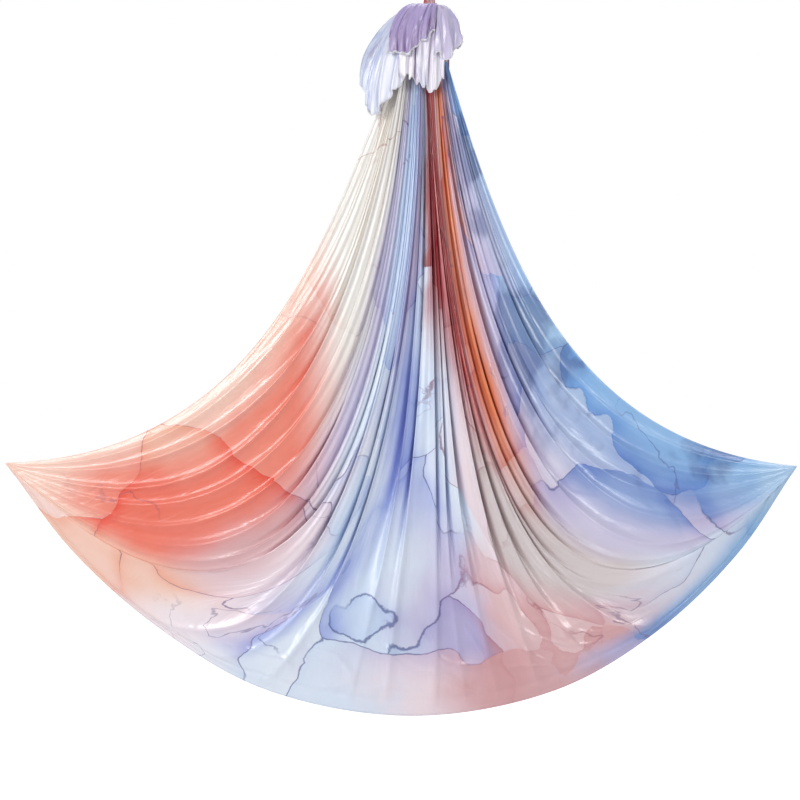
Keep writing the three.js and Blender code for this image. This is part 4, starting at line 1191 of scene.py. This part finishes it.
def overlock_stitches(material):
    """Thread looped round a rolled hem: one small ring for each stitch along the hem's core. Returns the
    tree and the names by which a modifier sets its sizes."""
    tree = bpy.data.node_groups.new("overlock_stitches", "GeometryNodeTree")
    tree.interface.new_socket("Geometry", in_out="INPUT", socket_type="NodeSocketGeometry")
    sizes = {}
    for label in ("Stitch Length", "Ring Radius", "Thread Radius"):
        socket = tree.interface.new_socket(label, in_out="INPUT", socket_type="NodeSocketFloat")
        sizes[label] = socket.identifier
    tree.interface.new_socket("Geometry", in_out="OUTPUT", socket_type="NodeSocketGeometry")

    def node(kind, inputs, **settings):
        made = tree.nodes.new(kind)
        for key, value in settings.items():
            setattr(made, key, value)
        for key, value in inputs.items():
            if isinstance(value, bpy.types.NodeSocket):
                tree.links.new(value, made.inputs[key])
            else:
                made.inputs[key].default_value = value
        return made

    given = tree.nodes.new("NodeGroupInput").outputs
    path = node("GeometryNodeMeshToCurve", {"Mesh": given["Geometry"]})
    stitch = {"Curve": path.outputs[0], "Length": given["Stitch Length"]}
    spaced = node("GeometryNodeResampleCurve", stitch, mode="LENGTH")
    round_hem = {"Resolution": RING_SIDES, "Radius": given["Ring Radius"]}
    loop = node("GeometryNodeCurvePrimitiveCircle", round_hem)
    section = {"Resolution": THREAD_SIDES, "Radius": given["Thread Radius"]}
    thread = node("GeometryNodeCurvePrimitiveCircle", section)
    ring = node("GeometryNodeCurveToMesh", {"Curve": loop.outputs[0], "Profile Curve": thread.outputs[0]})
    points = node("GeometryNodeCurveToPoints", {"Curve": spaced.outputs[0]}, mode="EVALUATED")
    copies = {"Points": points.outputs[0], "Instance": ring.outputs[0]}
    copies["Rotation"] = points.outputs["Rotation"]
    turned = node("GeometryNodeInstanceOnPoints", copies)
    whole = node("GeometryNodeRealizeInstances", {"Geometry": turned.outputs[0]})
    dressed = node("GeometryNodeSetMaterial", {"Geometry": whole.outputs[0], "Material": material})
    tree.links.new(dressed.outputs[0], tree.nodes.new("NodeGroupOutput").inputs[0])
    return tree, sizes


def white_thread():
    """Spun polyester thread: matt white, with its twist as a fine grain."""
    b = Nodes("white_overlock_thread")
    place = b.node("TexCoord").outputs["Object"]
    whites = [(0.3, linear(0.86, 0.86, 0.9)), (0.7, linear(0.97, 0.97, 0.98))]
    twist = {"Height": b.noise(place, 1500, 2), "Strength": 0.3, "Distance": THREAD_TWIST}
    b.put(b.shader.inputs["Base Color"], b.ramp(b.noise(place, 700, 3), whites))
    b.put(b.shader.inputs["Normal"], b.node("Bump", twist).outputs[0])
    b.shader.inputs["Roughness"].default_value = 0.6
    return b.material


thread_material = white_thread()
stitch_tree, stitch_sizes = overlock_stitches(thread_material)
for number, (name, plan) in enumerate(tails.items()):
    seed = FIRST_TAIL_SEED + TAIL_SEED_STEP * number
    points, flat, size, hem_core = tail(plan, DYE_SPACING * number, seed)
    piece = grid_object(name, points, flat)
    piece.data.materials.append(loose_end)
    piece.data.materials.append(thread_material)
    hem_row = np.arange(len(points) - 1) >= TAIL_ROWS - 1
    in_hem = np.repeat(hem_row, points.shape[1] - 1).astype(np.int32)
    piece.data.polygons.foreach_set("material_index", in_hem)
    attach(piece, "hammock")
    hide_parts(plan["node"])

    core = bpy.data.meshes.new(name + "_hem_core")
    core.from_pydata(hem_core.tolist(), [(i, i + 1) for i in range(len(hem_core) - 1)], [])
    stitches = bpy.data.objects.new(name + "_overlock", core)
    bpy.context.scene.collection.objects.link(stitches)
    sewing = stitches.modifiers.new("sewing", "NODES")
    sewing.node_group = stitch_tree
    sewing[stitch_sizes["Stitch Length"]] = STITCH_LENGTH
    sewing[stitch_sizes["Ring Radius"]] = RING_SHARE * plan["hem"]
    sewing[stitch_sizes["Thread Radius"]] = THREAD_RADIUS
    finished = stitches.evaluated_get(bpy.context.evaluated_depsgraph_get())
    sewn = bpy.data.meshes.new_from_object(finished)
    stitches.modifiers.remove(sewing)
    stitches.data = sewn
    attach(stitches, "hammock")

# The carabiner.
# Bent steel bar, brushed and left bright, with a turned gate and a fluted screw sleeve. Its solids come
# ready from the frame, and only get their finish here.
STEEL_GRAIN = 900
STEEL_GRAIN_DEPTH = 0.0003


def brushed_steel(name, tint, roughness, grain):
    """Steel with fine brush marks, a little uneven, and dulled by handling."""
    b = Nodes(name)
    place = b.node("TexCoord").outputs["Object"]
    drawn = b.node("Mapping", {"Vector": place, "Scale": grain}).outputs[0]
    marks = b.noise(drawn, STEEL_GRAIN, 3, 0.6)
    handled = b.noise(place, 45, 4, 0.55)
    worn = b.math("MULTIPLY_ADD", marks, 0.4, b.math("MULTIPLY", handled, 0.6))
    dull = linear(*[0.86 * c for c in tint])
    b.put(b.shader.inputs["Base Color"], b.ramp(worn, [(0.3, dull), (0.7, linear(*tint))]))
    b.shader.inputs["Metallic"].default_value = 1
    rough = b.math("MULTIPLY_ADD", handled, 0.22, roughness - 0.1)
    b.put(b.shader.inputs["Roughness"], rough)
    bump = b.node("Bump", {"Height": marks, "Strength": 0.12, "Distance": STEEL_GRAIN_DEPTH}).outputs[0]
    b.put(b.shader.inputs["Normal"], bump)
    return b.material


bar_steel = brushed_steel("bright_bar_steel", (0.78, 0.79, 0.81), 0.3, (1, 1, 0.12))
pin_steel = brushed_steel("turned_pin_steel", (0.66, 0.67, 0.69), 0.34, (1, 0.1, 1))
sleeve_steel = brushed_steel("dark_sleeve_steel", (0.52, 0.53, 0.56), 0.38, (1, 1, 0.3))
steel_parts = {
    "carabiner_body": bar_steel,
    "gate": bar_steel,
    "gate_pin": pin_steel,
    "latch_pin": pin_steel,
    "spring_plunger": pin_steel,
    "gate_spring": pin_steel,
    "lock_sleeve": sleeve_steel,
}
for name, steel in steel_parts.items():
    piece = bpy.data.objects[name]
    for slot in piece.material_slots:
        slot.material = steel
